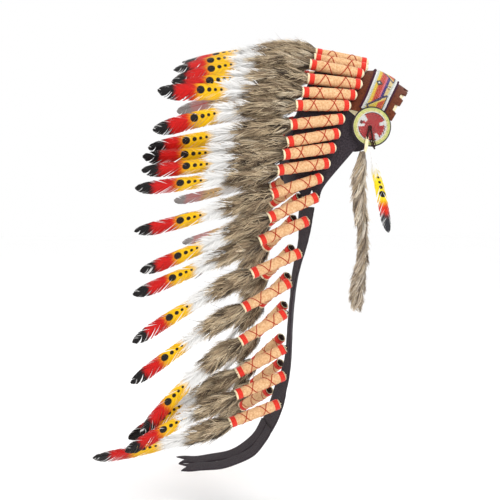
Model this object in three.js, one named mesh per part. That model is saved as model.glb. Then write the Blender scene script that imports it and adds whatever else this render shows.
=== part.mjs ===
// Feathered headdress: a felt crown and trailer carrying thirty-seven wrapped plumes,
// a beaded brow band, two rosettes and a fur tail. Millimetres, +Z up, the wearer faces -Y.
// The origin is the middle of the head opening.
import * as THREE from 'three';

const sleeveRadius = 10.4;
const sleeveLength = 90; // between the middles of the two thread bands
const sleeveTip = 11.5; // how far the blunt base reaches past its band
const sleeveRim = 7;
const seat = 12; // felt and leather lie this far under a sleeve's axis
const feltThick = 2.5;
const leatherThick = 2;
const vaneThick = 1.3;
const furDepth = 17;
const sides = 8;

// One row per plume from the top centre down the crown and the trailer. out, back and up place
// the base band; dip and curl are the slope and its change in degrees; long is base band to tip;
// splay leans the plume outwards; fur is where the fur collar ends; roll turns the vane.
const plumes = [
  { out: 0, back: -3, up: 171, dip: -10.5, curl: 29, long: 366, splay: 0, fur: 212, roll: 24 },
  { out: 27, back: 3, up: 157.5, dip: -9.5, curl: 29, long: 376, splay: 2, fur: 212, roll: 24 },
  { out: 52, back: 15, up: 142.5, dip: -9.2, curl: 34, long: 370, splay: 4, fur: 210, roll: 24 },
  { out: 69, back: 21, up: 120, dip: -5, curl: 20, long: 365, splay: 6, fur: 210, roll: 24 },
  { out: 80, back: 33, up: 98, dip: -2, curl: 5, long: 371, splay: 7.5, fur: 208, roll: 24 },
  { out: 88, back: 46, up: 77, dip: 1, curl: 19, long: 373, splay: 8.5, fur: 208, roll: 24 },
  { out: 93, back: 58, up: 51, dip: 7.5, curl: 5, long: 369, splay: 9.5, fur: 206, roll: 24 },
  { out: 96, back: 67, up: 23, dip: 10.5, curl: -8, long: 370, splay: 11.5, fur: 206, roll: 26 },
  { out: 97, back: 75, up: -4, dip: 8.5, curl: -3, long: 367, splay: 15, fur: 204, roll: 26 },
  { out: 97, back: 86, up: -33, dip: 8.5, curl: -2, long: 367, splay: 14, fur: 200, roll: 24 },
  { out: 95, back: 99, up: -62, dip: 18, curl: -6, long: 364, splay: 12, fur: 196, roll: 20 },
  { out: 91, back: 106, up: -99, dip: 22.5, curl: -1, long: 360, splay: 12, fur: 192, roll: 14 },
  { out: 85, back: 123, up: -144, dip: 22, curl: 0, long: 356, splay: 12, fur: 192, roll: 12 },
  { out: 79, back: 137, up: -206, dip: 22, curl: 13, long: 357, splay: 12, fur: 190, roll: 8 },
  { out: 75, back: 156, up: -264, dip: 27, curl: 10, long: 352, splay: 12, fur: 190, roll: 8 },
  { out: 72, back: 164, up: -324, dip: 30, curl: 22, long: 354, splay: 12, fur: 190, roll: 6 },
  { out: 70, back: 165, up: -392, dip: 27, curl: 6, long: 340, splay: 4, fur: 190, roll: 12 },
  { out: 68, back: 166, up: -445, dip: 18.5, curl: 10, long: 332, splay: 15, fur: 188, roll: 12 },
  { out: 66, back: 176, up: -501, dip: 18, curl: -14, long: 365, splay: 12, fur: 188, roll: 24 },
];

// The left row hangs lower and further out than the right one, its bases sit a shift further back
// and its trailer vanes turn more. One row per plume from the second.
const leftHang = [
  { dip: -9, curl: 29, splay: 5, shift: 0, roll: 24 },
  { dip: -7, curl: 30, splay: 9, shift: 0, roll: 24 },
  { dip: -2, curl: 20, splay: 13, shift: 0, roll: 24 },
  { dip: 3, curl: 8, splay: 14.5, shift: 0, roll: 24 },
  { dip: 9, curl: 8, splay: 17, shift: -3, roll: 24 },
  { dip: 14, curl: 0, splay: 21, shift: -2, roll: 24 },
  { dip: 19, curl: -8, splay: 26, shift: 2, roll: 26 },
  { dip: 24, curl: -16, splay: 29, shift: 4, roll: 26 },
  { dip: 30, curl: -24, splay: 32, shift: 8, roll: 24 },
  { dip: 36, curl: -22, splay: 35, shift: 4, roll: 28 },
  { dip: 42, curl: -4, splay: 37, shift: 12, roll: 36 },
  { dip: 50, curl: -12, splay: 36, shift: 7, roll: 44 },
  { dip: 51, curl: 6, splay: 38, shift: -2, roll: 44 },
  { dip: 51, curl: 8, splay: 36, shift: -12, roll: 44 },
  { dip: 52, curl: 6, splay: 33, shift: -13, roll: 48 },
  { dip: 50, curl: 6, splay: 38, shift: -8, roll: 44 },
  { dip: 47, curl: 4, splay: 41, shift: -7, roll: 48 },
  { dip: 43, curl: -4, splay: 45, shift: 6, roll: 52 },
];
const rowLast = plumes.length - 1;
const crownLast = 10.5; // where the felt crown ends on each side

const colour = {
  sleeve: '#f3cf9d',
  suede: '#6b3318',
  cream: '#f6ecd2',
  beads: '#e8e4da',
  cord: '#3a1c2b',
  felt: '#343138',
  ring: '#dfe394',
  tie: '#33201a',
  fur: '#8a7a62',
  feather: '#f4b92a',
};

function material(tint, roughness) {
  return new THREE.MeshStandardMaterial({ color: tint, roughness, metalness: 0 });
}

const group = new THREE.Group();

function add(name, geometry, tint, roughness = 0.85) {
  const mesh = new THREE.Mesh(geometry, material(tint, roughness));
  mesh.name = name;
  group.add(mesh);
}

// A closed body from shared points and triangles, turned so that its faces look outwards.
function body(points, faces) {
  let volume = 0;
  const cross = new THREE.Vector3();
  for (const [a, b, c] of faces) {
    volume += cross.crossVectors(points[b], points[c]).dot(points[a]);
  }
  const index = [];
  for (const [a, b, c] of faces) {
    index.push(a, ...(volume < 0 ? [c, b] : [b, c]));
  }
  const geometry = new THREE.BufferGeometry();
  geometry.setFromPoints(points);
  geometry.setIndex(index);
  geometry.computeVertexNormals();
  return geometry;
}

// Rings joined end to end; a ring of one point closes to a tip, any other end gets a flat fan.
function loft(rings) {
  const points = [];
  const starts = [];
  for (const ring of rings) {
    starts.push(points.length);
    points.push(...ring);
  }
  const faces = [];
  for (let r = 0; r + 1 < rings.length; r += 1) {
    const [n, m] = [rings[r].length, rings[r + 1].length];
    const [p, q] = [starts[r], starts[r + 1]];
    for (let k = 0; k < Math.max(n, m); k += 1) {
      const next = (k + 1) % Math.max(n, m);
      if (n > 1) {
        faces.push([p + k, p + next, q + (m > 1 ? k : 0)]);
      }
      if (m > 1) {
        faces.push([p + (n > 1 ? next : 0), q + next, q + k]);
      }
    }
  }
  for (const [end, flip] of [[0, true], [rings.length - 1, false]]) {
    const n = rings[end].length;
    for (let k = 1; k + 1 < n; k += 1) {
      const fan = [starts[end], starts[end] + k, starts[end] + k + 1];
      faces.push(flip ? fan.reverse() : fan);
    }
  }
  return body(points, faces);
}

// A sheet from a grid of outer points, thickened inwards against the grid's own normals.
function sheet(rows, thick) {
  const last = { r: rows.length - 1, c: rows[0].length - 1 };
  const at = (r, c) => rows[Math.min(Math.max(r, 0), last.r)][Math.min(Math.max(c, 0), last.c)];
  const outer = [];
  const inner = [];
  for (let r = 0; r <= last.r; r += 1) {
    for (let c = 0; c <= last.c; c += 1) {
      const along = at(r, c + 1).clone().sub(at(r, c - 1));
      const across = at(r + 1, c).clone().sub(at(r - 1, c));
      const normal = across.cross(along).normalize();
      outer.push(at(r, c).clone());
      inner.push(at(r, c).clone().addScaledVector(normal, -thick));
    }
  }
  const width = last.c + 1;
  const shift = outer.length;
  const faces = [];
  for (let r = 0; r < last.r; r += 1) {
    for (let c = 0; c < last.c; c += 1) {
      const a = r * width + c;
      faces.push([a, a + width, a + width + 1], [a, a + width + 1, a + 1]);
      const b = shift + a;
      faces.push([b, b + width + 1, b + width], [b, b + 1, b + width + 1]);
    }
  }
  const rim = [];
  for (let c = 0; c < last.c; c += 1) {
    rim.push([c, c + 1], [last.r * width + c + 1, last.r * width + c]);
  }
  for (let r = 0; r < last.r; r += 1) {
    rim.push([(r + 1) * width, r * width], [r * width + last.c, (r + 1) * width + last.c]);
  }
  for (const [a, b] of rim) {
    faces.push([a, b, shift + b], [a, shift + b, shift + a]);
  }
  return body([...outer, ...inner], faces);
}

// ---- places on the crown: station j runs from -18 (right trailer end) over 0 to +18 (left)

function plumeRow(j) {
  const row = plumes[Math.abs(j)];
  if (j <= 0) {
    return row;
  }
  const hang = leftHang[j - 1];
  return { ...row, ...hang, back: row.back + hang.shift };
}

function direction(j, dip) {
  const { splay } = plumeRow(j);
  const [lean, fall] = [THREE.MathUtils.degToRad(splay), THREE.MathUtils.degToRad(dip)];
  const flat = Math.cos(lean);
  return new THREE.Vector3(Math.sign(j) * Math.sin(lean), flat * Math.cos(fall), -flat * Math.sin(fall));
}

const stations = [];
for (let j = -rowLast; j <= rowLast; j += 1) {
  stations.push(j);
}
const baseCurve = new THREE.CatmullRomCurve3(stations.map((j) => {
  const { out, back, up } = plumeRow(j);
  return new THREE.Vector3(Math.sign(j) * out, back, up);
}));
const leanCurve = new THREE.CatmullRomCurve3(stations.map((j) => direction(j, plumeRow(j).dip)));

function place(j) {
  const t = (j + rowLast) / (2 * rowLast);
  const base = baseCurve.getPoint(t);
  const along = baseCurve.getTangent(t);
  const lean = leanCurve.getPoint(t).normalize();
  const outward = new THREE.Vector3().crossVectors(along, lean).normalize();
  return { base, along, lean, outward };
}

// A point of the felt under the sleeves: reach back along the plume, sink below its axis.
function under(j, reach, sink) {
  const { base, lean, outward } = place(j);
  const low = Math.max(0, Math.abs(j) - 4.5);
  const extra = j > 0 ? 0.6 + low + 3.6 * Math.max(0, low - 4) : 0.4 * low;
  return base.clone().addScaledVector(lean, reach).addScaledVector(outward, -sink - extra);
}

// ---- plumes: sleeve, fur collar and vane in one closed loft

function plumePoint(j, reach) {
  const row = plumeRow(j);
  const { base } = place(j);
  const bendLength = row.long - sleeveLength;
  const straight = Math.min(reach, sleeveLength);
  const point = base.clone().addScaledVector(direction(j, row.dip), straight);
  const steps = 12;
  const step = (reach - straight) / steps;
  for (let k = 0; k < steps && step > 0; k += 1) {
    const gone = (k + 0.5) * step;
    point.addScaledVector(direction(j, row.dip + (row.curl * gone) / bendLength), step);
  }
  return point;
}

function halfGap(j, reach) {
  const here = plumePoint(j, reach);
  let gap = Infinity;
  for (const k of [j - 1, j + 1]) {
    if (Math.abs(k) <= rowLast) {
      gap = Math.min(gap, here.distanceTo(plumePoint(k, reach)));
    }
  }
  return gap / 2;
}

function plumeRing(j, reach, wide, deep, turn, drop) {
  const heading = plumePoint(j, reach + 1).sub(plumePoint(j, reach)).normalize();
  const { along } = place(j);
  const upRow = along.clone().multiplyScalar(j > 0 ? -1 : 1);
  const across = upRow.addScaledVector(heading, -upRow.dot(heading)).normalize();
  const out = new THREE.Vector3().crossVectors(across, heading).multiplyScalar(j > 0 ? -1 : 1);
  const angle = THREE.MathUtils.degToRad(turn);
  const widthWay = across.clone().multiplyScalar(Math.cos(angle)).addScaledVector(out, Math.sin(angle));
  const depthWay = out.clone().multiplyScalar(Math.cos(angle)).addScaledVector(across, -Math.sin(angle));
  const centre = plumePoint(j, reach).addScaledVector(widthWay, -drop);
  const ring = [];
  for (let k = 0; k < sides; k += 1) {
    const phase = (2 * Math.PI * k) / sides;
    ring.push(centre.clone()
      .addScaledVector(widthWay, wide * Math.cos(phase))
      .addScaledVector(depthWay, deep * Math.sin(phase)));
  }
  return ring;
}

// Sections of the fur and the vane as shares of their own length, with half width and depth.
const furSections = [
  { at: 0, wide: 12.5, deep: 0.72 },
  { at: 0.14, wide: 16, deep: 1 },
  { at: 0.45, wide: 17, deep: 1 },
  { at: 0.8, wide: 14, deep: 0.55 },
];
const vaneSections = [
  { at: 0.02, wide: 10, drop: 2 },
  { at: 0.3, wide: 13, drop: 4 },
  { at: 0.55, wide: 15.5, drop: 5 },
  { at: 0.78, wide: 15, drop: 5 },
  { at: 0.93, wide: 9, drop: 3 },
];

function plume(j) {
  const row = plumeRow(j);
  const rings = [[plumePoint(j, -sleeveTip)]];
  rings.push(plumeRing(j, -sleeveRim, sleeveRadius * 0.8, sleeveRadius * 0.8, 0, 0));
  rings.push(plumeRing(j, -2, sleeveRadius, sleeveRadius, 0, 0));
  rings.push(plumeRing(j, sleeveLength + sleeveRim, sleeveRadius, sleeveRadius, 0, 0));
  const furStart = sleeveLength + sleeveRim + 0.5;
  for (const { at, wide, deep } of furSections) {
    const reach = furStart + at * (row.fur - furStart);
    const room = Math.min(wide, halfGap(j, reach) - 2);
    rings.push(plumeRing(j, reach, room, furDepth * deep, 0, 0));
  }
  for (const { at, wide, drop } of vaneSections) {
    const reach = row.fur + at * (row.long - row.fur);
    const room = at < 0.1 ? Math.min(wide, halfGap(j, reach) - 1.3 - drop) : wide;
    rings.push(plumeRing(j, reach, room, vaneThick, row.roll, drop));
  }
  rings.push([plumePoint(j, row.long)]);
  return loft(rings);
}

for (const j of stations) {
  const side = j < 0 ? 'right' : 'left';
  const name = j === 0 ? 'plume_center' : `plume_${side}_${String(Math.abs(j)).padStart(2, '0')}`;
  add(name, plume(j), colour.sleeve, 0.8);
}

// ---- brow band: suede strip in front of the sleeves, lining, bead strip and edge cords

// Front edge of the strip beside the middle: out, back and up at each plume station.
const browEdge = new THREE.CatmullRomCurve3([
  [86, -39, 41], [80, -50, 58], [70, -61, 76], [53, -74, 93.5], [29, -86, 108], [0, -93, 115.5],
].map(([x, y, z]) => new THREE.Vector3(-x, y, z)).concat([
  [29, -86, 108], [53, -74, 93.5], [70, -61, 76], [80, -50, 58], [86, -39, 41],
].map(([x, y, z]) => new THREE.Vector3(x, y, z))));
const browEnd = 5; // the strip ends at this station on each side
const tabCount = 7;
const tabHalf = 10.5;

// A point over the strip: share 0 is under the sleeves, 1 is the front edge. The strip rises
// in front of the sleeve tips and arches from there to its front edge.
function brow(j, share, lift) {
  const rear = new THREE.Vector3();
  const outward = new THREE.Vector3();
  for (const shift of [-0.8, 0, 0.8]) {
    rear.addScaledVector(under(j + shift, 0.5, seat + 0.3), 1 / 3);
    outward.addScaledVector(place(j + shift).outward, 1 / 3);
  }
  const front = browEdge.getPoint((j + browEnd) / (2 * browEnd));
  const rise = 10 * THREE.MathUtils.smoothstep(share, 0.05, 0.2) * (1 - share);
  const bow = 18 * share * (1 - share) + rise;
  return rear.lerp(front, share).addScaledVector(outward.normalize(), bow + lift);
}

function browSheet(columns, shares, lift, thick) {
  return sheet(shares.map((share) => columns.map((j) => brow(j, share, lift))), thick);
}

function spread(from, to, count) {
  return Array.from({ length: count + 1 }, (_, k) => from + ((to - from) * k) / count);
}

const edgeLength = browEdge.getLength();
const tabColumns = [{ j: -browEnd, tab: false }];
for (let k = 0; k < tabCount; k += 1) {
  const middle = ((k + 0.5) * edgeLength) / tabCount;
  const notch = tabHalf + 1;
  for (const offset of [-notch, -tabHalf, 0, tabHalf, notch]) {
    const j = browEdge.getUtoTmapping((middle + offset) / edgeLength) * 2 * browEnd - browEnd;
    tabColumns.push({ j, tab: Math.abs(offset) < notch });
  }
}
tabColumns.push({ j: browEnd, tab: false });
const suedeRows = [0, 0.09, 0.2, 0.45, 0.7, 0.9].map((share) => tabColumns.map(({ j }) => brow(j, share, 0)));
suedeRows.push(tabColumns.map(({ j, tab }) => brow(j, tab ? 1 : 0.91, 0)));
add('headband', sheet(suedeRows, leatherThick), colour.suede, 0.9);
add('headband_lining', browSheet(spread(-4.95, 4.95, 20), [0.03, 0.5, 0.95], -3.6, 1.6), colour.cream, 0.95);
add('bead_strip', browSheet(spread(-4.7, 4.7, 20), [0.3, 0.52, 0.745], 3.1, 1.8), colour.beads, 0.35);

function cordAlong(points, radius, facets) {
  const curve = new THREE.CatmullRomCurve3(points);
  const count = points.length - 1;
  const frames = curve.computeFrenetFrames(count, false);
  const rings = [];
  for (let k = 0; k <= count; k += 1) {
    const centre = curve.getPointAt(k / count);
    const ring = [];
    for (let f = 0; f < facets; f += 1) {
      const phase = (2 * Math.PI * f) / facets;
      ring.push(centre.clone()
        .addScaledVector(frames.normals[k], radius * Math.cos(phase))
        .addScaledVector(frames.binormals[k], radius * Math.sin(phase)));
    }
    rings.push(ring);
  }
  return loft(rings);
}

for (const [name, share] of [['edge_cord_rear', 0.272], ['edge_cord_front', 0.768]]) {
  add(name, cordAlong(spread(-4.66, 4.66, 20).map((j) => brow(j, share, 2.8)), 1.8, 6), colour.cord, 0.7);
}

// ---- felt crown: flared under the sleeves, with a cheek in front of them on each side

const cheekEdge = new THREE.CatmullRomCurve3([
  [87, -22, 30], [87, 0, 23], [86, 16, 6], [86, 36, -19.5],
  [85, 63, -49], [84, 88, -77], [83, 93, -96], [82, 98, -112],
].map(([x, y, z]) => new THREE.Vector3(x, y, z)));
const cheekTop = 5.15;

function cheek(j) {
  const share = (Math.abs(j) - cheekTop) / (crownLast - cheekTop);
  const point = cheekEdge.getPoint(share);
  return new THREE.Vector3(point.x * Math.sign(j), point.y, point.z);
}

function flare(j) {
  const depth = new THREE.CatmullRomCurve3([
    [0, 86], [4, 86], [7.5, 86], [8.6, 74], [9.4, 52], [10.1, 24], [11, 10],
  ].map(([at, reach]) => new THREE.Vector3(at, reach, 0)));
  for (const { x, y } of depth.getPoints(80)) {
    if (x >= Math.abs(j) - 0.04) {
      return y;
    }
  }
  return 12;
}

const crownColumns = [];
for (const j of [10.5, 10.1, 9.6, 9, 8, 7, 6, 5.2, 5.08, 4, 3, 2, 1]) {
  crownColumns.push(-j);
}
crownColumns.push(0);
for (const j of [1, 2, 3, 4, 5.08, 5.2, 6, 7, 8, 9, 9.6, 10, 10.4]) {
  crownColumns.push(j);
}
const crownRows = [1, 0.5, 0].map((share) => crownColumns.map((j) => {
  const root = under(j, 4, seat);
  return Math.abs(j) > cheekTop ? root.lerp(cheek(j), share) : under(j, 4 - 1.2 * share, seat);
}));
crownRows.push(crownColumns.map((j) => under(j, 4 + 0.5 * (flare(j) - 4), seat)));
crownRows.push(crownColumns.map((j) => under(j, flare(j), seat)));
add('felt_crown', sheet(crownRows.reverse(), feltThick), colour.felt, 0.95);

// ---- skull cap: level arcs round the back of the head, from the top down to the nape

const capRows = [
  { at: 0.35, bulge: 8 }, { at: 1, bulge: 22 }, { at: 2, bulge: 44 }, { at: 3.2, bulge: 62 },
  { at: 4.6, bulge: 76 }, { at: 6, bulge: 80 }, { at: 7.4, bulge: 76 }, { at: 8.7, bulge: 62 },
  { at: 9.8, bulge: 44 }, { at: 10.6, bulge: 30 },
];
const capArc = 12;
const capGrid = capRows.map(({ at, bulge }) => {
  const edge = under(-at, 9, seat + feltThick + 4);
  return Array.from({ length: capArc + 1 }, (_, k) => {
    const turn = (Math.PI * k) / capArc;
    const swell = bulge * Math.sin(turn);
    return new THREE.Vector3(edge.x * Math.cos(turn), edge.y + swell, edge.z - 0.12 * swell);
  });
});
add('skull_cap', sheet(capGrid, feltThick), colour.felt, 0.95);

// ---- trailer: one panel down the back between the two plume rows, with two cut tails

// Edges of the panel by height: half width, and how far back the right and the left edge lie.
const panelRows = [
  { up: -116, half: 72, right: 104, left: 116 }, { up: -140, half: 71, right: 107, left: 119 },
  { up: -165, half: 68, right: 112, left: 118 }, { up: -200, half: 65, right: 122, left: 122 },
  { up: -248, half: 61, right: 138, left: 134 }, { up: -303, half: 59, right: 147, left: 138 },
  { up: -344, half: 57, right: 149, left: 142 }, { up: -392, half: 56, right: 150, left: 146 },
  { up: -440, half: 54, right: 151, left: 150 }, { up: -480, half: 53, right: 156, left: 168 },
  { up: -523, half: 52, right: 166, left: 180 }, { up: -560, half: 51, right: 186, left: 197 },
];
const panelFoot = -560;
const panelGrid = panelRows.map(({ up, half, right, left }) => [-1, -0.5, 0, 0.5, 1].map((x) => {
  const back = right + ((left - right) * (x + 1)) / 2;
  const bow = 7 * Math.min(1, (up - panelFoot) / 100) * (1 - x * x); // flat again at the foot
  return new THREE.Vector3(x * half - (x > 0 ? 4 * x : 0), back - bow, up);
}));
add('trailer_panel', sheet(panelGrid, feltThick), colour.felt, 0.95);

// Each tail runs on from the panel's foot and sweeps back to a forked end.
const tailRun = [
  [189, -563.5], [202, -586], [222, -606], [250, -620], [284, -628], [318, -631],
];
const tailEnd = { tip: [362, -632], fork: [344, -632] };
const tailHalf = 25.5;
for (const [name, middle, shift] of [['trailer_tail_right', -28, 3], ['trailer_tail_left', 25, 9]]) {
  const grid = tailRun.map(([back, up]) => [-1, 0, 1].map((x) => (
    new THREE.Vector3(middle + x * tailHalf, back + shift + x * 3, up)
  )));
  grid.push([-1, 0, 1].map((x) => {
    const [back, up] = x === 0 ? tailEnd.fork : tailEnd.tip;
    return new THREE.Vector3(middle + x * tailHalf * 0.94, back + shift, up);
  }));
  add(name, sheet(grid, 2.2), colour.felt, 0.95);
}

// ---- rosettes at the ends of the brow band

const rosetteRadius = 36;
const rosettePlace = new THREE.Vector3(94, -3, 37);

function disc(profile, facets) {
  const turned = new THREE.LatheGeometry(profile.map(([r, h]) => new THREE.Vector2(r, h)), facets);
  const position = turned.getAttribute('position');
  const rings = profile.map(([r], p) => {
    const count = r === 0 ? 1 : facets;
    return Array.from({ length: count }, (_, f) => (
      new THREE.Vector3().fromBufferAttribute(position, f * profile.length + p)
    ));
  });
  return loft(rings);
}

for (const [side, sign] of [['right', -1], ['left', 1]]) {
  const turn = new THREE.Matrix4().makeRotationZ(sign * -Math.PI / 2);
  const slant = new THREE.Matrix4().makeRotationZ(sign * THREE.MathUtils.degToRad(-4));
  const spot = rosettePlace.clone();
  spot.x *= sign;
  const move = new THREE.Matrix4().makeTranslation(spot).multiply(slant).multiply(turn);
  const backing = disc([[0, -1.2], [rosetteRadius + 2, -1.2], [rosetteRadius + 2, 1.2], [0, 1.2]], 32);
  const face = disc([
    [0, 1.7], [rosetteRadius, 1.7], [rosetteRadius, 3.2], [rosetteRadius - 4, 4.4], [8, 4.8], [0, 4.8],
  ], 32);
  add(`rosette_backing_${side}`, backing.applyMatrix4(move), colour.felt, 0.95);
  add(`rosette_face_${side}`, face.applyMatrix4(move), colour.ring, 0.35);
}

// ---- right-hand drop: lace, thong, fur tail and one small feather

// Sections down the fur tail: height, middle back and half width.
const tailSections = [
  { up: -10, back: 15, half: 8 }, { up: -20, back: 15, half: 11 }, { up: -40, back: 16.5, half: 12 },
  { up: -62, back: 21.5, half: 15.5 }, { up: -104, back: 21.5, half: 15 }, { up: -153, back: 15, half: 12.5 },
  { up: -178, back: 12.5, half: 11 }, { up: -222, back: 15, half: 12.5 }, { up: -262, back: 22, half: 15 },
  { up: -296, back: 25, half: 14 }, { up: -312, back: 23.5, half: 9 },
];
function hangingLoft(sections, out, deep) {
  const rings = sections.map(({ up, back, half }) => Array.from({ length: 10 }, (_, k) => {
    const phase = (2 * Math.PI * k) / 10;
    const across = half * Math.cos(phase);
    return new THREE.Vector3(-out + deep(half) * Math.sin(phase), back + across, up);
  }));
  return rings;
}
const tailRings = hangingLoft(tailSections, 99, (half) => Math.min(half, 13));
tailRings.push([new THREE.Vector3(-99, 22, -322)]);
add('fur_tail_right', loft(tailRings), colour.fur, 0.95);

const laceRun = [[-101.5, 1, 36], [-103, -2, 24], [-103, -3.4, 13], [-102, -5, 3], [-101, -8, -6]];
add('rosette_lace_right', cordAlong(laceRun.map((p) => new THREE.Vector3(...p)), 2.2, 6), colour.tie, 0.8);
const thongRun = [[-102.5, 6.4, 17], [-102.5, 7.4, 8], [-101, 8, 0], [-99, 9.5, -8]];
add('tail_thong_right', cordAlong(thongRun.map((p) => new THREE.Vector3(...p)), 2, 6), colour.cream, 0.85);

const dropSections = [
  { up: -14, back: -1, half: 2.5 }, { up: -30, back: -5, half: 5 }, { up: -52, back: -12, half: 8 },
  { up: -77, back: -18, half: 9.5 }, { up: -105, back: -24, half: 9 }, { up: -128, back: -28.5, half: 7.5 },
  { up: -146, back: -32, half: 5.5 },
];
const dropRings = hangingLoft(dropSections, 102, () => 1.4);
dropRings.push([new THREE.Vector3(-102, -35.6, -166)]);
add('drop_feather_right', loft(dropRings), colour.feather, 0.6);

export default group;
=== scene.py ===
import math
import bpy
import bmesh
import numpy as np
from mathutils import Matrix, Vector


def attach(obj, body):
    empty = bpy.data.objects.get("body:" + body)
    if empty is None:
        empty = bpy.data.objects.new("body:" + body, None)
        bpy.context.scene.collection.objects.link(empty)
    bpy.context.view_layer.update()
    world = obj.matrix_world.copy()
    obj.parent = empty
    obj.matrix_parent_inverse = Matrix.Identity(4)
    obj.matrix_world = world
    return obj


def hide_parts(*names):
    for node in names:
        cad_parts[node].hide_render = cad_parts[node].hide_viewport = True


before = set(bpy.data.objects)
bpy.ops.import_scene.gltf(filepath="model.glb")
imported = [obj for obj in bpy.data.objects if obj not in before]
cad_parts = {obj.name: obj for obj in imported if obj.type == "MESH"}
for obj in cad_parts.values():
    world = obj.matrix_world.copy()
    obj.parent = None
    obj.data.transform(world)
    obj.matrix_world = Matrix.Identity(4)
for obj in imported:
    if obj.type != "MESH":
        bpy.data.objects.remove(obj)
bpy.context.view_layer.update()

# Feathered headdress. Tables and points are in millimetres, objects in metres.
# The origin is the middle of the head opening, the wearer faces -Y, and +X is the wearer's left.

scene = bpy.context.scene
scene.view_settings.view_transform = "Standard"
millimetre = 0.001

# Camera and lights.
viewpoint = {"target": (0.0, 0.223, -0.202), "place": (-1.8448, 0.3197, -0.1020), "lens": 66.6}
lampTarget = (0.0, 0.15, -0.2)
lamps = [
    {"name": "key", "place": (-2.4, -0.9, 1.7), "size": 1.8, "power": 34},
    {"name": "fill", "place": (-2.0, 2.2, 0.3), "size": 2.4, "power": 5},
    {"name": "top", "place": (0.2, 0.3, 2.4), "size": 2.2, "power": 8},
    {"name": "back", "place": (2.3, 0.6, 0.9), "size": 2.4, "power": 6},
]


def aim(obj, place, target):
    obj.location = place
    obj.rotation_euler = (Vector(target) - Vector(place)).to_track_quat("-Z", "Y").to_euler()


cameraData = bpy.data.cameras.new("camera")
cameraData.lens = viewpoint["lens"]
camera = bpy.data.objects.new("camera", cameraData)
scene.collection.objects.link(camera)
aim(camera, viewpoint["place"], viewpoint["target"])
scene.camera = camera

for lamp in lamps:
    light = bpy.data.lights.new(lamp["name"], "AREA")
    light.size = lamp["size"]
    light.energy = lamp["power"]
    lampObject = bpy.data.objects.new(lamp["name"], light)
    scene.collection.objects.link(lampObject)
    aim(lampObject, lamp["place"], lampTarget)

world = bpy.data.worlds.new("studio")
scene.world = world
world.use_nodes = True
sky = world.node_tree.nodes["Background"]
sky.inputs["Color"].default_value = (1.0, 1.0, 1.0, 1.0)
sky.inputs["Strength"].default_value = 1.0
print("stage: camera and lights", flush=True)


# Shader groups and materials.

def tone(r, g, b):  # a display colour made linear
    return tuple(((c / 255 + 0.055) / 1.055) ** 2.4 for c in (r, g, b))


def newGroup(name, inputs, outputs):
    tree = bpy.data.node_groups.new(name, "ShaderNodeTree")
    for label, kind in inputs:
        tree.interface.new_socket(label, in_out="INPUT", socket_type=kind)
    for label, kind in outputs:
        tree.interface.new_socket(label, in_out="OUTPUT", socket_type=kind)
    return tree, tree.nodes.new("NodeGroupInput"), tree.nodes.new("NodeGroupOutput")


def put(tree, kind, feed=None, **settings):
    node = tree.nodes.new(kind)
    for key, value in settings.items():
        setattr(node, key, value)
    for key, value in (feed or {}).items():
        if isinstance(value, bpy.types.NodeSocket):
            tree.links.new(value, node.inputs[key])
        else:
            node.inputs[key].default_value = value
    return node


def mixColours(tree, share, first, second, blend="MIX"):
    feed = {"Factor": share, 6: first, 7: second}  # sockets 6 and 7 are the two colours
    return put(tree, "ShaderNodeMix", feed, data_type="RGBA", blend_type=blend).outputs[2]


def mapped(tree, value, source, target):
    return put(tree, "ShaderNodeMapRange", {
        "Value": value, "From Min": source[0], "From Max": source[1],
        "To Min": target[0], "To Max": target[1],
    }).outputs[0]


def grainGroup():
    tree, given, result = newGroup(
        "fibreGrain",
        [("Scale", "NodeSocketFloat"), ("Depth", "NodeSocketFloat")],
        [("Mask", "NodeSocketFloat"), ("Normal", "NodeSocketVector")],
    )
    spot = put(tree, "ShaderNodeTexCoord").outputs["Object"]
    noise = put(tree, "ShaderNodeTexNoise", {
        "Vector": spot, "Scale": given.outputs["Scale"], "Detail": 5.0, "Roughness": 0.65,
    })
    bump = put(tree, "ShaderNodeBump", {
        "Strength": given.outputs["Depth"], "Distance": 0.0015, "Height": noise.outputs[0],
    })
    tree.links.new(noise.outputs[0], result.inputs["Mask"])
    tree.links.new(bump.outputs[0], result.inputs["Normal"])
    return tree


fibreGrain = grainGroup()
noiseSpan = (0.3, 0.7)  # where nearly all of a noise's values lie


def newMaterial(name, roughness, sheen=0.0, coat=0.0):
    made = bpy.data.materials.new(name)
    made.use_nodes = True
    shader = made.node_tree.nodes["Principled BSDF"]
    shader.inputs["Roughness"].default_value = roughness
    shader.inputs["Sheen Weight"].default_value = sheen
    shader.inputs["Specular IOR Level"].default_value = 0.5 if coat else 0.2  # fibres shine less than beads
    shader.inputs["Coat Weight"].default_value = coat
    return made, made.node_tree, shader


def grainMaterial(name, dark, light, scale, depth, roughness, sheen=0.0, coat=0.0, tinted=False):
    made, tree, shader = newMaterial(name, roughness, sheen, coat)
    grain = put(tree, "ShaderNodeGroup", node_tree=fibreGrain)
    grain.inputs["Scale"].default_value = scale
    grain.inputs["Depth"].default_value = depth
    share = mapped(tree, grain.outputs["Mask"], noiseSpan, (0.0, 1.0))
    colour = mixColours(tree, share, (*dark, 1.0), (*light, 1.0))
    if tinted:
        paint = put(tree, "ShaderNodeAttribute", attribute_name="tint").outputs["Color"]
        colour = mixColours(tree, 1.0, paint, colour, "MULTIPLY")
    tree.links.new(colour, shader.inputs["Base Color"])
    tree.links.new(grain.outputs["Normal"], shader.inputs["Normal"])
    return made


# Painted dots: how far each lies behind the big one, and its radius, as shares of dotUnit.
dotUnit = 100.0
dotRow = [(0.0, 0.075), (0.16, 0.042), (0.275, 0.031), (0.385, 0.026)]
dotEdge = 0.006  # half the width of a dot's soft edge


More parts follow.
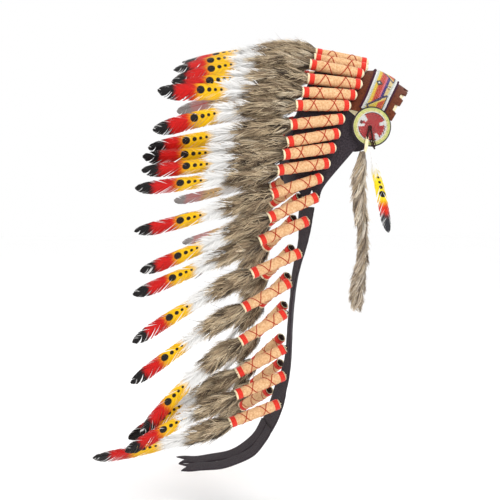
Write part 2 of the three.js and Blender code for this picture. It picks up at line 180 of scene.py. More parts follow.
def dotGroup():
    tree, given, result = newGroup("dotRow", [("Place", "NodeSocketVector")], [("Mask", "NodeSocketFloat")])
    covered = None
    for centre, radius in dotRow:
        away = put(tree, "ShaderNodeVectorMath", {0: given.outputs["Place"], 1: (centre, 0.0, 0.0)},
                   operation="DISTANCE").outputs["Value"]
        inside = mapped(tree, away, (radius - dotEdge, radius + dotEdge), (1.0, 0.0))
        if covered is None:
            covered = inside
        else:
            covered = put(tree, "ShaderNodeMath", {0: covered, 1: inside}, operation="MAXIMUM").outputs[0]
    tree.links.new(covered, result.inputs["Mask"])
    return tree


dotPaint = dotGroup()


def featherMaterial():
    made, tree, shader = newMaterial("feather", 0.45, 0.04)
    paint = put(tree, "ShaderNodeAttribute", attribute_name="tint").outputs["Color"]
    place = put(tree, "ShaderNodeUVMap", uv_map="lay").outputs[0]
    apart = put(tree, "ShaderNodeSeparateXYZ", {0: place})
    side = put(tree, "ShaderNodeMath", {0: apart.outputs["Y"]}, operation="ABSOLUTE").outputs[0]
    swept = put(tree, "ShaderNodeMath", {0: apart.outputs["X"], 1: side}, operation="ADD").outputs[0]
    barb = put(tree, "ShaderNodeCombineXYZ", {"X": swept, "Y": side}).outputs[0]
    drawn = put(tree, "ShaderNodeVectorMath", {0: barb, 1: (1.0, 0.08, 1.0)},
                operation="MULTIPLY").outputs[0]
    streak = put(tree, "ShaderNodeTexNoise", {
        "Vector": drawn, "Scale": 75.0, "Detail": 3.0, "Roughness": 0.6,
    }).outputs[0]
    shade = mapped(tree, streak, noiseSpan, (0.74, 1.08))
    barred = mixColours(tree, 1.0, paint, shade, "MULTIPLY")
    dots = put(tree, "ShaderNodeGroup", {"Place": place}, node_tree=dotPaint).outputs[0]
    topSide = put(tree, "ShaderNodeAttribute", attribute_name="painted").outputs["Fac"]
    shown = put(tree, "ShaderNodeMath", {0: dots, 1: topSide}, operation="MULTIPLY").outputs[0]
    dotted = mixColours(tree, shown, barred, (*tone(24, 20, 20), 1.0))
    bump = put(tree, "ShaderNodeBump", {"Strength": 0.5, "Distance": 0.0012, "Height": streak})
    tree.links.new(dotted, shader.inputs["Base Color"])
    tree.links.new(bump.outputs[0], shader.inputs["Normal"])
    return made


wrapFelt = grainMaterial("wrapFelt", tone(198, 142, 94), tone(240, 202, 156),
                         scale=260, depth=0.7, roughness=0.9, sheen=0.1)
creamFelt = grainMaterial("creamFelt", tone(228, 208, 160), tone(252, 240, 206),
                          scale=320, depth=0.5, roughness=0.95, sheen=0.3)
redThread = grainMaterial("redThread", tone(190, 22, 12), tone(245, 62, 40),
                          scale=700, depth=0.4, roughness=0.55, sheen=0.2)
lacing = grainMaterial("lacing", tone(146, 34, 18), tone(204, 74, 42), scale=500, depth=0.4, roughness=0.6)
furHair = grainMaterial("furHair", (0.75, 0.75, 0.75), (1.0, 1.0, 1.0),
                        scale=420, depth=0.1, roughness=0.5, sheen=0.1, tinted=True)
downHair = grainMaterial("downHair", (0.92, 0.92, 0.92), (1.0, 1.0, 1.0),
                         scale=300, depth=0.1, roughness=0.6, sheen=0.2, tinted=True)
feather = featherMaterial()
blackFelt = grainMaterial("blackFelt", tone(30, 26, 30), tone(72, 64, 70),
                          scale=420, depth=0.8, roughness=0.95, sheen=0.05)
suede = grainMaterial("suede", tone(70, 30, 14), tone(118, 58, 32),
                      scale=240, depth=0.7, roughness=0.92, sheen=0.1)
edgeThread = grainMaterial("edgeThread", tone(40, 14, 34), tone(86, 36, 62),
                           scale=600, depth=0.5, roughness=0.6)
brownTie = grainMaterial("brownTie", tone(26, 12, 10), tone(60, 32, 24), scale=600, depth=0.5, roughness=0.6)
beadGlass = grainMaterial("beadGlass", (0.7, 0.7, 0.7), (0.88, 0.88, 0.88),
                          scale=500, depth=0.05, roughness=0.22, coat=0.3, tinted=True)
print("stage: materials", flush=True)


# The crown line, as the frame's plumes stand on it. Plumes from the top centre down the right row:
# out, back and up of the base band, dip and curl in degrees, length, splay, fur end, roll of the
# vane, and dotBack from the tip to the big dot.
columns = ("out", "back", "up", "dip", "curl", "long", "splay", "fur", "roll", "dotBack")
plumeTable = [dict(zip(columns, row)) for row in [
    (0, -3, 171, -10.5, 29, 366, 0, 212, 24, 70), (27, 3, 157.5, -9.5, 29, 376, 2, 212, 24, 75),
    (52, 15, 142.5, -9.2, 34, 370, 4, 210, 24, 81), (69, 21, 120, -5, 20, 365, 6, 210, 24, 80),
    (80, 33, 98, -2, 5, 371, 7.5, 208, 24, 81), (88, 46, 77, 1, 19, 373, 8.5, 208, 24, 81),
    (93, 58, 51, 7.5, 5, 369, 9.5, 206, 24, 72), (96, 67, 23, 10.5, -8, 370, 11.5, 206, 26, 78),
    (97, 75, -4, 8.5, -3, 367, 15, 204, 26, 83), (97, 86, -33, 8.5, -2, 367, 14, 200, 24, 84),
    (95, 99, -62, 18, -6, 364, 12, 196, 20, 87), (91, 106, -99, 22.5, -1, 360, 12, 192, 14, 76),
    (85, 123, -144, 22, 0, 356, 12, 192, 12, 80), (79, 137, -206, 22, 13, 357, 12, 190, 8, 83),
    (75, 156, -264, 27, 10, 352, 12, 190, 8, 79), (72, 164, -324, 30, 22, 354, 12, 190, 6, 79),
    (70, 165, -392, 27, 6, 340, 4, 190, 12, 76), (68, 166, -445, 18.5, 10, 332, 15, 188, 12, 82),
    (66, 176, -501, 18, -14, 365, 12, 188, 24, 81),
]]
# The left row from the second plume: dip, curl, splay, how far back its base is shifted, roll.
leftTable = [dict(zip(("dip", "curl", "splay", "shift", "roll"), row)) for row in [
    (-9, 29, 5, 0, 24), (-7, 30, 9, 0, 24), (-2, 20, 13, 0, 24), (3, 8, 14.5, 0, 24), (9, 8, 17, -3, 24),
    (14, 0, 21, -2, 24), (19, -8, 26, 2, 26), (24, -16, 29, 4, 26), (30, -24, 32, 8, 24),
    (36, -22, 35, 4, 28), (42, -4, 37, 12, 36), (50, -12, 36, 7, 44), (51, 6, 38, -2, 44),
    (51, 8, 36, -12, 44), (52, 6, 33, -13, 48), (50, 6, 38, -8, 44), (47, 4, 41, -7, 48),
    (43, -4, 45, 6, 52),
]]
rowLast = len(plumeTable) - 1
stations = list(range(-rowLast, rowLast + 1))  # right row below zero, left row above it
sleeveLong = 90.0
pathStart = -20.0  # a plume's path begins this far before its base


def unit(v):
    return v / np.maximum(np.linalg.norm(v, axis=-1, keepdims=True), 1e-9)


def sideOf(j):
    return (j > 0) - (j < 0)


def plumeRow(j):
    row = dict(plumeTable[abs(j)])
    if j > 0:
        hang = leftTable[j - 1]
        row.update(hang)
        row["back"] += hang["shift"]
    return row


def direction(j, dip):
    lean, fall = math.radians(plumeRow(j)["splay"]), math.radians(dip)
    flat = math.cos(lean)
    return np.array([sideOf(j) * math.sin(lean), flat * math.cos(fall), -flat * math.sin(fall)])


# Centripetal spline through the points, at share t of the way, or its slope there.
def splineAt(points, t, slope=False):
    last = len(points) - 1
    k = min(int(t * last), last - 1)
    w = t * last - k
    p1, p2 = points[k], points[k + 1]
    p0 = points[k - 1] if k > 0 else 2 * p1 - p2
    p3 = points[k + 2] if k + 2 <= last else 2 * p2 - p1
    d0, d1, d2 = (max(np.linalg.norm(b - a), 1e-6) ** 0.5 for a, b in ((p0, p1), (p1, p2), (p2, p3)))
    m1 = d1 * ((p1 - p0) / d0 - (p2 - p0) / (d0 + d1) + (p2 - p1) / d1)
    m2 = d1 * ((p2 - p1) / d1 - (p3 - p1) / (d1 + d2) + (p3 - p2) / d2)
    c2, c3 = 3 * (p2 - p1) - 2 * m1 - m2, 2 * (p1 - p2) + m1 + m2
    if slope:
        return m1 + 2 * c2 * w + 3 * c3 * w * w
    return p1 + m1 * w + c2 * w * w + c3 * w ** 3


def plumeBase(j):
    row = plumeRow(j)
    return np.array([sideOf(j) * row["out"], row["back"], row["up"]], float)


basePoints = [plumeBase(j) for j in stations]
leanPoints = [direction(j, plumeRow(j)["dip"]) for j in stations]


# Base point of the crown line at station j, the line's run there, the plumes' lean and the way out.
def place(j):
    t = (j + rowLast) / (2 * rowLast)
    run = unit(splineAt(basePoints, t, slope=True))
    lean = unit(splineAt(leanPoints, t))
    return splineAt(basePoints, t), run, lean, unit(np.cross(run, lean))


def plumePath(j):
    row = plumeRow(j)
    base, run = place(j)[:2]
    reach = np.arange(pathStart, row["long"] + 1.0, 1.0)
    spots = []
    spot = base + direction(j, row["dip"]) * reach[0]
    for r in reach:
        spots.append(spot.copy())
        bend = row["curl"] * max(0.0, r + 0.5 - sleeveLong) / (row["long"] - sleeveLong)
        spot = spot + direction(j, row["dip"] + bend)
    spots = np.array(spots)
    heading = unit(np.gradient(spots, axis=0))
    hand = -1.0 if j > 0 else 1.0
    across = unit(run * hand - heading * (heading @ run * hand)[:, None])
    return {"reach": reach, "spots": spots, "across": across, "out": np.cross(across, heading) * hand}


paths = {j: plumePath(j) for j in stations}


def pathAt(path, key, r):
    r = np.asarray(r, float)
    return np.stack([np.interp(r, path["reach"], path[key][:, c]) for c in range(3)], axis=-1)


def halfGap(j, r):  # half the way to the nearer neighbour
    here = pathAt(paths[j], "spots", r)
    near = [k for k in (j - 1, j + 1) if abs(k) <= rowLast]
    gaps = [np.linalg.norm(here - pathAt(paths[k], "spots", r), axis=-1) for k in near]
    return np.minimum.reduce(gaps) / 2


# Joined meshes from arrays: a batch gathers patches of quads, and pieceFrom makes them one piece.

def newBatch():
    return {"points": [], "quads": [], "slots": [], "tints": [], "lays": [], "painted": [], "count": 0}


noLay = 9.0  # map place of whatever carries no dots, far from them


def addPatch(batch, points, quads, slot, tint=(1, 1, 1), lay=None, painted=0.0):
    points = np.asarray(points, float).reshape(-1, 3)
    number = len(points)
    lay = np.full((number, 2), noLay) if lay is None else np.asarray(lay, float).reshape(-1, 2)
    batch["points"].append(points)
    batch["quads"].append(np.asarray(quads, np.int64).reshape(-1, 4) + batch["count"])
    batch["slots"].append(np.full(len(batch["quads"][-1]), slot))
    batch["tints"].append(np.broadcast_to(np.asarray(tint, float).reshape(-1, 3), (number, 3)))
    batch["lays"].append(lay)
    batch["painted"].append(np.full(number, painted))
    batch["count"] += number


def newObject(name, mesh):
    obj = bpy.data.objects.new(name, mesh)
    scene.collection.objects.link(obj)
    return obj


def pieceFrom(name, batch, materials):
    points = np.concatenate(batch["points"]) * millimetre
    quads = np.concatenate(batch["quads"])
    mesh = bpy.data.meshes.new(name)
    mesh.vertices.add(len(points))
    mesh.vertices.foreach_set("co", points.ravel())
    mesh.loops.add(quads.size)
    mesh.loops.foreach_set("vertex_index", quads.ravel())
    mesh.polygons.add(len(quads))
    mesh.polygons.foreach_set("loop_start", np.arange(0, quads.size, 4))
    mesh.polygons.foreach_set("material_index", np.concatenate(batch["slots"]))
    mesh.polygons.foreach_set("use_smooth", np.ones(len(quads), bool))
    tint = mesh.color_attributes.new("tint", "FLOAT_COLOR", "POINT")
    colours = np.concatenate(batch["tints"])
    tint.data.foreach_set("color", np.concatenate([colours, np.ones((len(colours), 1))], axis=1).ravel())
    painted = mesh.attributes.new("painted", "FLOAT", "POINT")
    painted.data.foreach_set("value", np.concatenate(batch["painted"]))
    lay = mesh.uv_layers.new(name="lay")
    lay.data.foreach_set("uv", np.concatenate(batch["lays"])[quads.ravel()].ravel())
    mesh.update(calc_edges=True)
    mesh.validate()
    for entry in materials:
        mesh.materials.append(entry)
    return newObject(name, mesh)


def pieceFromBmesh(name, bm, finish):
    mesh = bpy.data.meshes.new(name)
    bm.to_mesh(mesh)
    bm.free()
    mesh.materials.append(finish)
    return newObject(name, mesh)


def dress(piece, node):  # the piece takes a CAD node's place
    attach(piece, "root")
    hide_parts(node)


def gridTemplate(x, y):  # corners of a unit square's grid, and its quads
    bm = bmesh.new()
    bmesh.ops.create_grid(bm, x_segments=x, y_segments=y, size=0.5)
    spots = np.array([v.co[:2] for v in bm.verts]) + 0.5
    quads = np.array([[v.index for v in f.verts] for f in bm.faces])
    bm.free()
    return spots, quads


def gridOrder(x, y):  # the same with whole numbers for its corners
    spots, quads = gridTemplate(x, y)
    return np.rint(spots * [x, y]).astype(int), quads


def repeatQuads(quads, number, each):
    return quads[None] + (np.arange(number) * each)[:, None, None]


strandSpots, strandQuads = gridTemplate(3, 1)
strandTip = {"slim": 0.88, "power": 1.6}  # a strand's width falls to 12 percent at its tip


def addStrands(batch, slot, root, middle, tip, width, face, rootTint, tipTint):
    t = strandSpots[:, 0][None, :, None]
    side = (strandSpots[:, 1] - 0.5)[None, :, None]
    path = root[:, None] * (1 - t) ** 2 + 2 * middle[:, None] * t * (1 - t) + tip[:, None] * t ** 2
    flat = unit(np.cross(tip - root, face))
    slim = 1 - strandTip["slim"] * t ** strandTip["power"]
    points = path + flat[:, None] * side * width[:, None, None] * slim
    tints = rootTint[:, None] * (1 - t) + tipTint[:, None] * t
    quads = repeatQuads(strandQuads, len(root), len(strandSpots))
    addPatch(batch, points, quads, slot, tints.reshape(-1, 3))


def addTube(batch, spots, wayA, wayB, radiusA, radiusB, slot, sides, tint=(1, 1, 1), lay=None, painted=0.0):
    last = len(spots) - 1
    order, quads = gridOrder(last, sides)
    ring, turn = order[:, 0], 2 * math.pi * order[:, 1] / sides
    radiusA = np.broadcast_to(radiusA, last + 1)[ring][:, None]
    radiusB = np.broadcast_to(radiusB, last + 1)[ring][:, None]
    points = spots[ring] + wayA[ring] * radiusA * np.cos(turn)[:, None]
    points = points + wayB[ring] * radiusB * np.sin(turn)[:, None]
    tint = np.asarray(tint)
    tint = tint[ring] if tint.ndim == 2 else tint
    addPatch(batch, points, quads, slot, tint, None if lay is None else lay[ring], painted)


def addPathTube(batch, path, r, radiusA, radiusB, slot, sides, **looks):
    addTube(batch, pathAt(path, "spots", r), pathAt(path, "across", r), pathAt(path, "out", r),
            radiusA, radiusB, slot, sides, **looks)


def shapeAt(shape, key, share):
    return np.interp(share, shape["at"], shape[key])


def skinAt(path, r, turn, wide, deep):  # a point round a path, wide and deep from it
    aside = pathAt(path, "across", r) * (wide * np.cos(turn))[:, None]
    return pathAt(path, "spots", r) + aside + pathAt(path, "out", r) * (deep * np.sin(turn))[:, None]


# Hair: how single hairs gather into a lock, as shared by every coat of fur.
hair = {
    "rootSpread": 5.0, "rootTurn": 0.4, "rootLift": 0.6, "middleLift": (1.08, 1.42), "tipLift": (0.95, 1.3),
    "strayShare": 0.18, "strayMore": 2.6, "faceSpread": 6.0,
    "lockShade": (0.85, 1.15), "hairShade": (0.7, 1.25),
    "paleShare": 0.2, "pale": tone(226, 202, 164), "paleShade": (0.8, 1.05), "tipShade": 1.15,
    "weights": (0.28, 0.24, 0.22, 0.13, 0.13),
}
furTones = np.array([tone(174, 150, 120), tone(120, 100, 78), tone(222, 200, 166), tone(60, 47, 37),
                     tone(242, 224, 194)])
tailTones = np.array([tone(226, 210, 190), tone(190, 172, 152), tone(244, 232, 212), tone(136, 118, 102),
                      tone(252, 242, 226)])


# Locks of hair over a skin given by reach, turn round the spine and lift, from start to end.
def addLocks(batch, rng, slot, skin, spine, start, end, coat):
    locks = coat["locks"]
    lockAt = rng.uniform(start - 4, end - coat["short"], locks)
    lockTurn = rng.uniform(0, 2 * math.pi, locks)
    lockTone = coat["tones"][rng.choice(len(hair["weights"]), locks, p=hair["weights"])]
    lockTone = lockTone * rng.uniform(*hair["lockShade"], (locks, 1))
    tipAt = lockAt + rng.uniform(*coat["long"], locks)
    tipTurn = lockTurn + rng.normal(0, coat["swirl"], locks) - coat["twist"] * (tipAt - lockAt)
    tipAt = np.minimum(tipAt, end + rng.uniform(-6, coat["wisp"], locks))
    lockTip = skin(tipAt, tipTurn, rng.uniform(*hair["tipLift"], locks))
    which = np.repeat(np.arange(locks), coat["each"])
    number = len(which)
    rootAt = np.maximum(lockAt[which] + rng.normal(0, hair["rootSpread"], number), start - 6)
    rootTurn = lockTurn[which] + rng.normal(0, hair["rootTurn"], number)
    root = skin(rootAt, rootTurn, np.full(number, hair["rootLift"]))
    stray = np.where(rng.random(number) < hair["strayShare"], hair["strayMore"], 1.0)[:, None]
    tip = lockTip[which] + rng.normal(0, coat["loose"], (number, 3)) * stray
    midAt = (rootAt + tipAt[which]) / 2
    middle = skin(midAt, (rootTurn + tipTurn[which]) / 2, rng.uniform(*hair["middleLift"], number))
    face = middle - pathAt(spine, "spots", midAt) + rng.normal(0, hair["faceSpread"], (number, 3))
    base = lockTone[which] * rng.uniform(*hair["hairShade"], (number, 1))
    isPale = (rng.random(number) < hair["paleShare"])[:, None]
    base = np.where(isPale, np.array(hair["pale"]) * rng.uniform(*hair["paleShade"], (number, 1)), base)
    tipShade = hair["tipShade"] * np.interp(tipAt[which], [start, end], [1.0, coat["endShade"]])[:, None]
    width = rng.uniform(*coat["width"], number)
    addStrands(batch, slot, root, middle, tip, width, face, base * coat["rootShade"], base * tipShade)


furShape = {"at": (0, 0.14, 0.45, 0.8, 1.0), "wide": (12, 15.5, 16.5, 15, 12.5),
            "deep": (12, 16, 16, 11.5, 6), "past": 8.0, "least": 7.0,
            "core": 0.6, "coreTone": tone(96, 80, 62)}
plumeCoat = {"locks": 128, "each": 13, "short": 22, "swirl": 0.4, "twist": 0.0, "long": (24, 46), "wisp": 22,
             "loose": 2.8, "width": (0.8, 2.0), "rootShade": 0.45, "endShade": 1.0, "tones": furTones}


def addFur(batch, rng, j, slot):
    path = paths[j]
    start, end = sleeveLong + furShape["past"], plumeRow(j)["fur"]

    def shareAt(r):
        return np.clip((r - start) / (end - start), 0, 1)

    def roomAt(r, more):  # the fur is pressed flat between close neighbours
        room = np.maximum(halfGap(j, r), furShape["least"]) + more
        return np.minimum(shapeAt(furShape, "wide", shareAt(r)), room)

    def skin(r, turn, lift):
        return skinAt(path, r, turn, roomAt(r, 2.0) * lift, shapeAt(furShape, "deep", shareAt(r)) * lift)

    core = np.linspace(start - 6, end - 8, 12)
    wide = roomAt(core, 0.0) * furShape["core"]
    deep = shapeAt(furShape, "deep", shareAt(core)) * furShape["core"]
    addPathTube(batch, path, core, wide, deep, slot, 10, tint=furShape["coreTone"])
    addLocks(batch, rng, slot, skin, path, start, end, plumeCoat)


# White down that spreads from under the fur over the root of the vane.
down = {"number": 420, "at": (-34, 26), "long": (20, 42), "sweep": (0.2, 0.8), "rise": 5.0, "drop": 0.16,
        "clear": (16, 52), "width": (1.0, 2.4), "tone": tone(255, 254, 252),
        "shade": (0.86, 1.0), "rootShade": 0.96}


def rolled(path, at, roll):  # ways across and out of a vane that is rolled about its stem
    across, out = pathAt(path, "across", at), pathAt(path, "out", at)
    return across * math.cos(roll) + out * math.sin(roll), out * math.cos(roll) - across * math.sin(roll)


def addDown(batch, rng, path, row, slot, number=down["number"]):
    size = row["size"]
    at = row["fur"] + rng.uniform(*down["at"], number) * size
    side = rng.choice([-1.0, 1.0], number)
    sweep = rng.uniform(*down["sweep"], number)
    length = rng.uniform(*down["long"], number) * size
    wide = (length * np.sin(sweep) * side)[:, None]
    rise = rng.normal(0, down["rise"], (number, 1)) * size
    outWay = pathAt(path, "out", at)
    widthWay = rolled(path, at, math.radians(row["roll"]))[0]
    farthest = row["long"] - row["dotBack"] - rng.uniform(*down["clear"], number) * size
    tipAt = np.minimum(at + length * np.cos(sweep), farthest)
    tip = pathAt(path, "spots", tipAt) + widthWay * wide * (0.9 - down["drop"]) + outWay * rise
    middle = pathAt(path, "spots", at * 0.6 + tipAt * 0.4) + widthWay * wide * 0.66 + outWay * rise * 0.8
    white = np.array(down["tone"]) * rng.uniform(*down["shade"], (number, 1))
    width = rng.uniform(*down["width"], number) * size
    root = pathAt(path, "spots", at)
    addStrands(batch, slot, root, middle, tip, width, outWay, white * down["rootShade"], white)


# Painted vane: barbs on both sides of a stem, in zones of colour measured back from the tip.
palette = {"white": tone(250, 249, 247), "yellow": tone(255, 198, 2), "red": tone(206, 14, 8),
           "black": tone(16, 14, 15), "under": tone(206, 196, 192), "glint": tone(214, 212, 210)}
vane = {"at": (0, 0.02, 0.3, 0.55, 0.78, 0.89, 0.96, 1), "wide": (12, 13, 15, 16, 15.5, 12.5, 7.5, 0.6),
        "drop": (2, 2, 4, 4.5, 4.5, 3.5, 1.5, 0), "hidden": 26.0, "barbs": 92, "splitAt": (0.3, 0.97),
        "splitOpen": (0.8, 4.0), "splitSharp": 40, "cut": 0.11, "cutShare": 0.2, "gap": 0.09, "wave": 0.3,
        "shine": (0.82, 1.1), "jag": 1.4, "rough": 0.035, "glintShare": 0.07, "bow": 0.004, "thick": 0.3,
        "stem": (1.3, 0.3)}
vaneSides = [{"side": 1.0, "splits": 2, "lead": 26.0, "camber": 0.06},
             {"side": -1.0, "splits": 4, "lead": 34.0, "camber": 0.1}]
zoneSoft = {"red": 2.4, "yellow": 12.0, "white": 14.0}
vaneSpots, vaneQuads = gridTemplate(3, 1)


def zoneColour(back, row):
    paints = {**palette, **row.get("paints", {})}
    shade = np.broadcast_to(np.array(paints["black"]), back.shape + (3,)).copy()
    for edge, (name, soft) in zip(row["zones"], zoneSoft.items()):
        mix = np.clip((back - edge) / soft + 0.5, 0, 1)[..., None]
        shade = shade * (1 - mix) + np.array(paints[name]) * mix
    return shade


def addVane(batch, rng, path, row, slot, barbs=vane["barbs"]):
    size = row["size"]
    start, end = row["fur"] - vane["hidden"] * size, row["long"]
    edge = np.linspace(0, 1, barbs + 1)
    t, which = vaneSpots[:, 0], vaneSpots[:, 1]
    quads = repeatQuads(vaneQuads, barbs, len(vaneSpots))
    for half in vaneSides:
        side, lead = half["side"], half["lead"] * size
        splits = rng.uniform(*vane["splitAt"], half["splits"])
        cuts = rng.uniform(0.0, vane["cut"], barbs) * (rng.random(barbs) < vane["cutShare"])
        skew = np.zeros(barbs)
        for s in splits:
            opening = np.exp(-np.abs(edge[:-1] - s) * vane["splitSharp"]) * rng.uniform(*vane["splitOpen"])
            skew += np.where(edge[:-1] < s, -1, 1) * opening
        gap = rng.uniform(0.0, vane["gap"], (barbs, 1))
        wave = rng.normal(0, vane["wave"], (barbs, 1)) * t
        shine = rng.uniform(*vane["shine"], (barbs, 1, 1))
        jag = rng.normal(0, vane["jag"], (barbs, 1))
        rough = rng.uniform(0, vane["rough"], (barbs, 1)) * t
        isPale = rng.random((barbs, 1, 1)) < vane["glintShare"]
        rootAt = start + (end - 1.5 - start) * edge
        first, second = rootAt[:-1, None], rootAt[1:, None]
        root = first * (1 - which) + second * which
        pinch = (which - 0.5) * (second - first) * gap * t ** 2
        ahead = lead * (1 - np.exp(-0.72 * (end - root) / lead))
        at = np.minimum(root + (ahead + skew[:, None]) * t ** 1.12 - pinch, end)
        share = np.clip((at - row["fur"]) / (end - row["fur"]), 0, 1)
        wide, drop = (shapeAt(vane, key, share) * row["broad"] for key in ("wide", "drop"))
        offset = side * (wide - side * drop) * t * (1 - cuts[:, None] * t - rough)
        camber = -half["camber"] * np.abs(offset) - vane["bow"] * offset ** 2
        widthWay, depthWay = rolled(path, at, math.radians(row["roll"]))
        shades = zoneColour(end - at + jag, row)
        glint = isPale & (shades.max(axis=-1, keepdims=True) < 0.1) & (t > 0.3)[None, :, None]
        shades = np.where(glint, np.array(palette["glint"]), shades * shine)
        lay = np.stack([end - at - row["dotBack"], offset], axis=-1) / dotUnit / size
        middle = pathAt(path, "spots", at) + widthWay * offset[..., None]
        for topSide, depth in ((1.0, vane["thick"]), (0.0, -vane["thick"])):
            shown = shades if topSide else shades * 0.4 + np.array(palette["under"]) * 0.5
            points = middle + depthWay * (camber + wave + depth)[..., None]
            addPatch(batch, points, quads, slot, shown, lay, topSide)
    stem = np.linspace(start - 20 * size, end - 10 * size, 40)
    thick = np.interp(stem, [start, end], vane["stem"]) * size
    lay = np.stack([end - stem - row["dotBack"], np.zeros(len(stem))], axis=-1) / dotUnit / size
    tint = zoneColour(end - stem, row) * 1.05
    addPathTube(batch, path, stem, thick, thick, slot, 6, tint=tint, lay=lay, painted=1.0)


# Wrapped sleeve: profiles are reach along the plume and radius.
sleeve = {
    "radius": 10.6, "sides": 18, "wrap": (5.4, 84.6), "lip": 1.2,
    "pinch": 0.1, "pinchLong": 3.5, "uneven": 0.008,
    "bands": (0.0, 90.0), "bandHalf": 5.0, "bandRadius": (9.0, 10.2), "yarn": (1.7, 0.5),
    "roundEnd": ((-11.3, -10.7, -9.2, -6.8, -4.4), (0.4, 2.6, 5.8, 8.6, 9.4)),
    "openEnd": ((-3.0, -6.6, -7.4, -6.8), (6.6, 8.2, 8.8, 9.6)),
    # dark felt that fills the open end, also standing for the shade in the hollow inside it: painted shade
    "plugAndShade": ((-9.0, -8.4, -6.0, -4.4), (0.3, 4.6, 7.6, 7.8)),
    "collar": ((94.6, 96.4, 98.4, 99.2, 98.6), (9.2, 10.2, 10.8, 10.4, 6.0)),
    # a small cream mark raised beside the end, standing for a white glint: a painted highlight
    "paintedGlint": ((-11.0, -9.5, -8.0), (0.4, 1.1, 0.5)),
    "eye": {"at": -8.5, "long": 3.6, "wide": 3.8, "radius": 1.2},
    "lace": {"from": 5.0, "long": 80.0, "turns": 2.0, "radius": (0.65, 0.95), "rings": 57},
    "firstPlugged": 11,  # from this plume down, the sleeve's end is open on dark felt with an eye; the dark felt is also painted shade for the hollow inside the end, and a cream mark beside it is a painted highlight
}
plumeFinishes = {"wrap": wrapFelt, "thread": redThread, "cream": creamFelt, "lace": lacing, "fur": furHair,
                 "down": downHair, "vane": feather, "tie": brownTie}
slotOf = {name: k for k, name in enumerate(plumeFinishes)}


def addPluggedEnd(batch, path, tubeAt):
    eye = sleeve["eye"]
    tubeAt(*map(np.array, sleeve["openEnd"]), "cream")
    # Dark felt fills the open end; it is also painted shade for the hollow inside the end.
    tubeAt(*map(np.array, sleeve["plugAndShade"]), "tie", 12)
    loop = np.linspace(0, 2 * math.pi, 25)
    r = eye["at"] - eye["long"] * np.cos(loop)
    spots = pathAt(path, "spots", r) + pathAt(path, "across", r) * (eye["wide"] * np.sin(loop))[:, None]
    side = pathAt(path, "out", r)
    around = np.cross(unit(np.gradient(spots, axis=0)), side)
    addTube(batch, spots, side, around, eye["radius"], eye["radius"], slotOf["tie"], 6)
    # A small cream mark stands for the white glint on the dark end: a painted highlight.
    paintedGlint, radius = map(np.array, sleeve["paintedGlint"])
    raised = pathAt(path, "spots", paintedGlint) + side[0] * 2.0
    addTube(batch, raised, pathAt(path, "across", paintedGlint), pathAt(path, "out", paintedGlint), radius, radius,
            slotOf["cream"], 6)


def addSleeve(batch, rng, j):
    path = paths[j]
    wrapStart, wrapEnd = sleeve["wrap"]
    lip = sleeve["lip"]
    wrap = np.concatenate([[wrapStart - lip], np.linspace(wrapStart, wrapEnd, 23), [wrapEnd + lip]])
    swell = 1 - sleeve["pinch"] * sum(np.exp(-((wrap - end) / sleeve["pinchLong"]) ** 2) for end in (5, 85))
    radius = sleeve["radius"] * swell * (1 + rng.normal(0, sleeve["uneven"], len(wrap)))

    def tubeAt(r, size, finish, sides=sleeve["sides"]):
        addPathTube(batch, path, r, size, size, slotOf[finish], sides)

    tubeAt(wrap, radius, "wrap")
    yarnLong, yarnHigh = sleeve["yarn"]
    bandEdge, bandRadius = sleeve["bandRadius"]
    for middle in sleeve["bands"]:
        coil = np.linspace(-sleeve["bandHalf"], sleeve["bandHalf"], 16)
        ridge = bandRadius + yarnHigh * np.abs(np.sin(coil * math.pi / yarnLong))
        ridge[[0, -1]] = bandEdge
        tubeAt(middle + coil, ridge, "thread")
    if abs(j) < sleeve["firstPlugged"]:
        tubeAt(*map(np.array, sleeve["roundEnd"]), "cream")
    else:
        addPluggedEnd(batch, path, tubeAt)
    tubeAt(*map(np.array, sleeve["collar"]), "cream")
    lace = sleeve["lace"]
    turn = np.linspace(0, 1, lace["rings"])
    r = lace["from"] + lace["long"] * turn
    size = (np.interp(r, wrap, radius) + 0.25)[:, None]
    across, out = pathAt(path, "across", r), pathAt(path, "out", r)
    start = rng.uniform(-0.5, 0.5)
    for hand in (-1, 1):  # two laces cross as they wind opposite ways
        begin = start + (math.pi if hand > 0 else 0)
        angle = hand * (turn * lace["turns"] * 2 * math.pi + math.pi / 2) + begin
        radial = across * np.cos(angle)[:, None] + out * np.sin(angle)[:, None]
        spots = pathAt(path, "spots", r) + radial * size
        around = np.cross(unit(np.gradient(spots, axis=0)), radial)
        addTube(batch, spots, radial, around, *lace["radius"], slotOf["lace"], 5)


# Where the black ends, measured from the tip, and the red and the yellow, from the big dot.
zoneBlack, zoneRed, zoneYellow = 33.0, -6.0, 47.0
for j in stations:
    rng = np.random.default_rng(400 + j)
    row = plumeRow(j)
    row.update(size=1.0, broad=1.0, zones=(zoneBlack, row["dotBack"] + zoneRed, row["dotBack"] + zoneYellow))
    batch = newBatch()
    addSleeve(batch, rng, j)
    addFur(batch, rng, j, slotOf["fur"])
    addDown(batch, rng, paths[j], row, slotOf["down"])
    addVane(batch, rng, paths[j], row, slotOf["vane"])
    side = "right" if j < 0 else "left"
    node = "plume_center" if j == 0 else f"plume_{side}_{abs(j):02d}"
    plume = pieceFrom(node.replace("plume", "feather"), batch, plumeFinishes.values())
    dress(plume, node)
print("stage: plumes", flush=True)


# Brow band: suede strip, lining, bead loom work and edge cords. The strip's front edge is mirrored
# from its right half, and "end" is the last station that the band reaches.
browFront = [(-86, -39, 41), (-80, -50, 58), (-70, -61, 76), (-53, -74, 93.5), (-29, -86, 108),
             (0, -93, 115.5)]
browEdge = [np.array(p, float) for p in browFront + [(-x, y, z) for x, y, z in browFront[-2::-1]]]
brow = {"end": 5.0, "seat": 12.3, "near": (-0.8, 0.0, 0.8), "bow": 18.0, "shoulder": 10.0,
        "shoulderAt": (0.05, 0.2)}


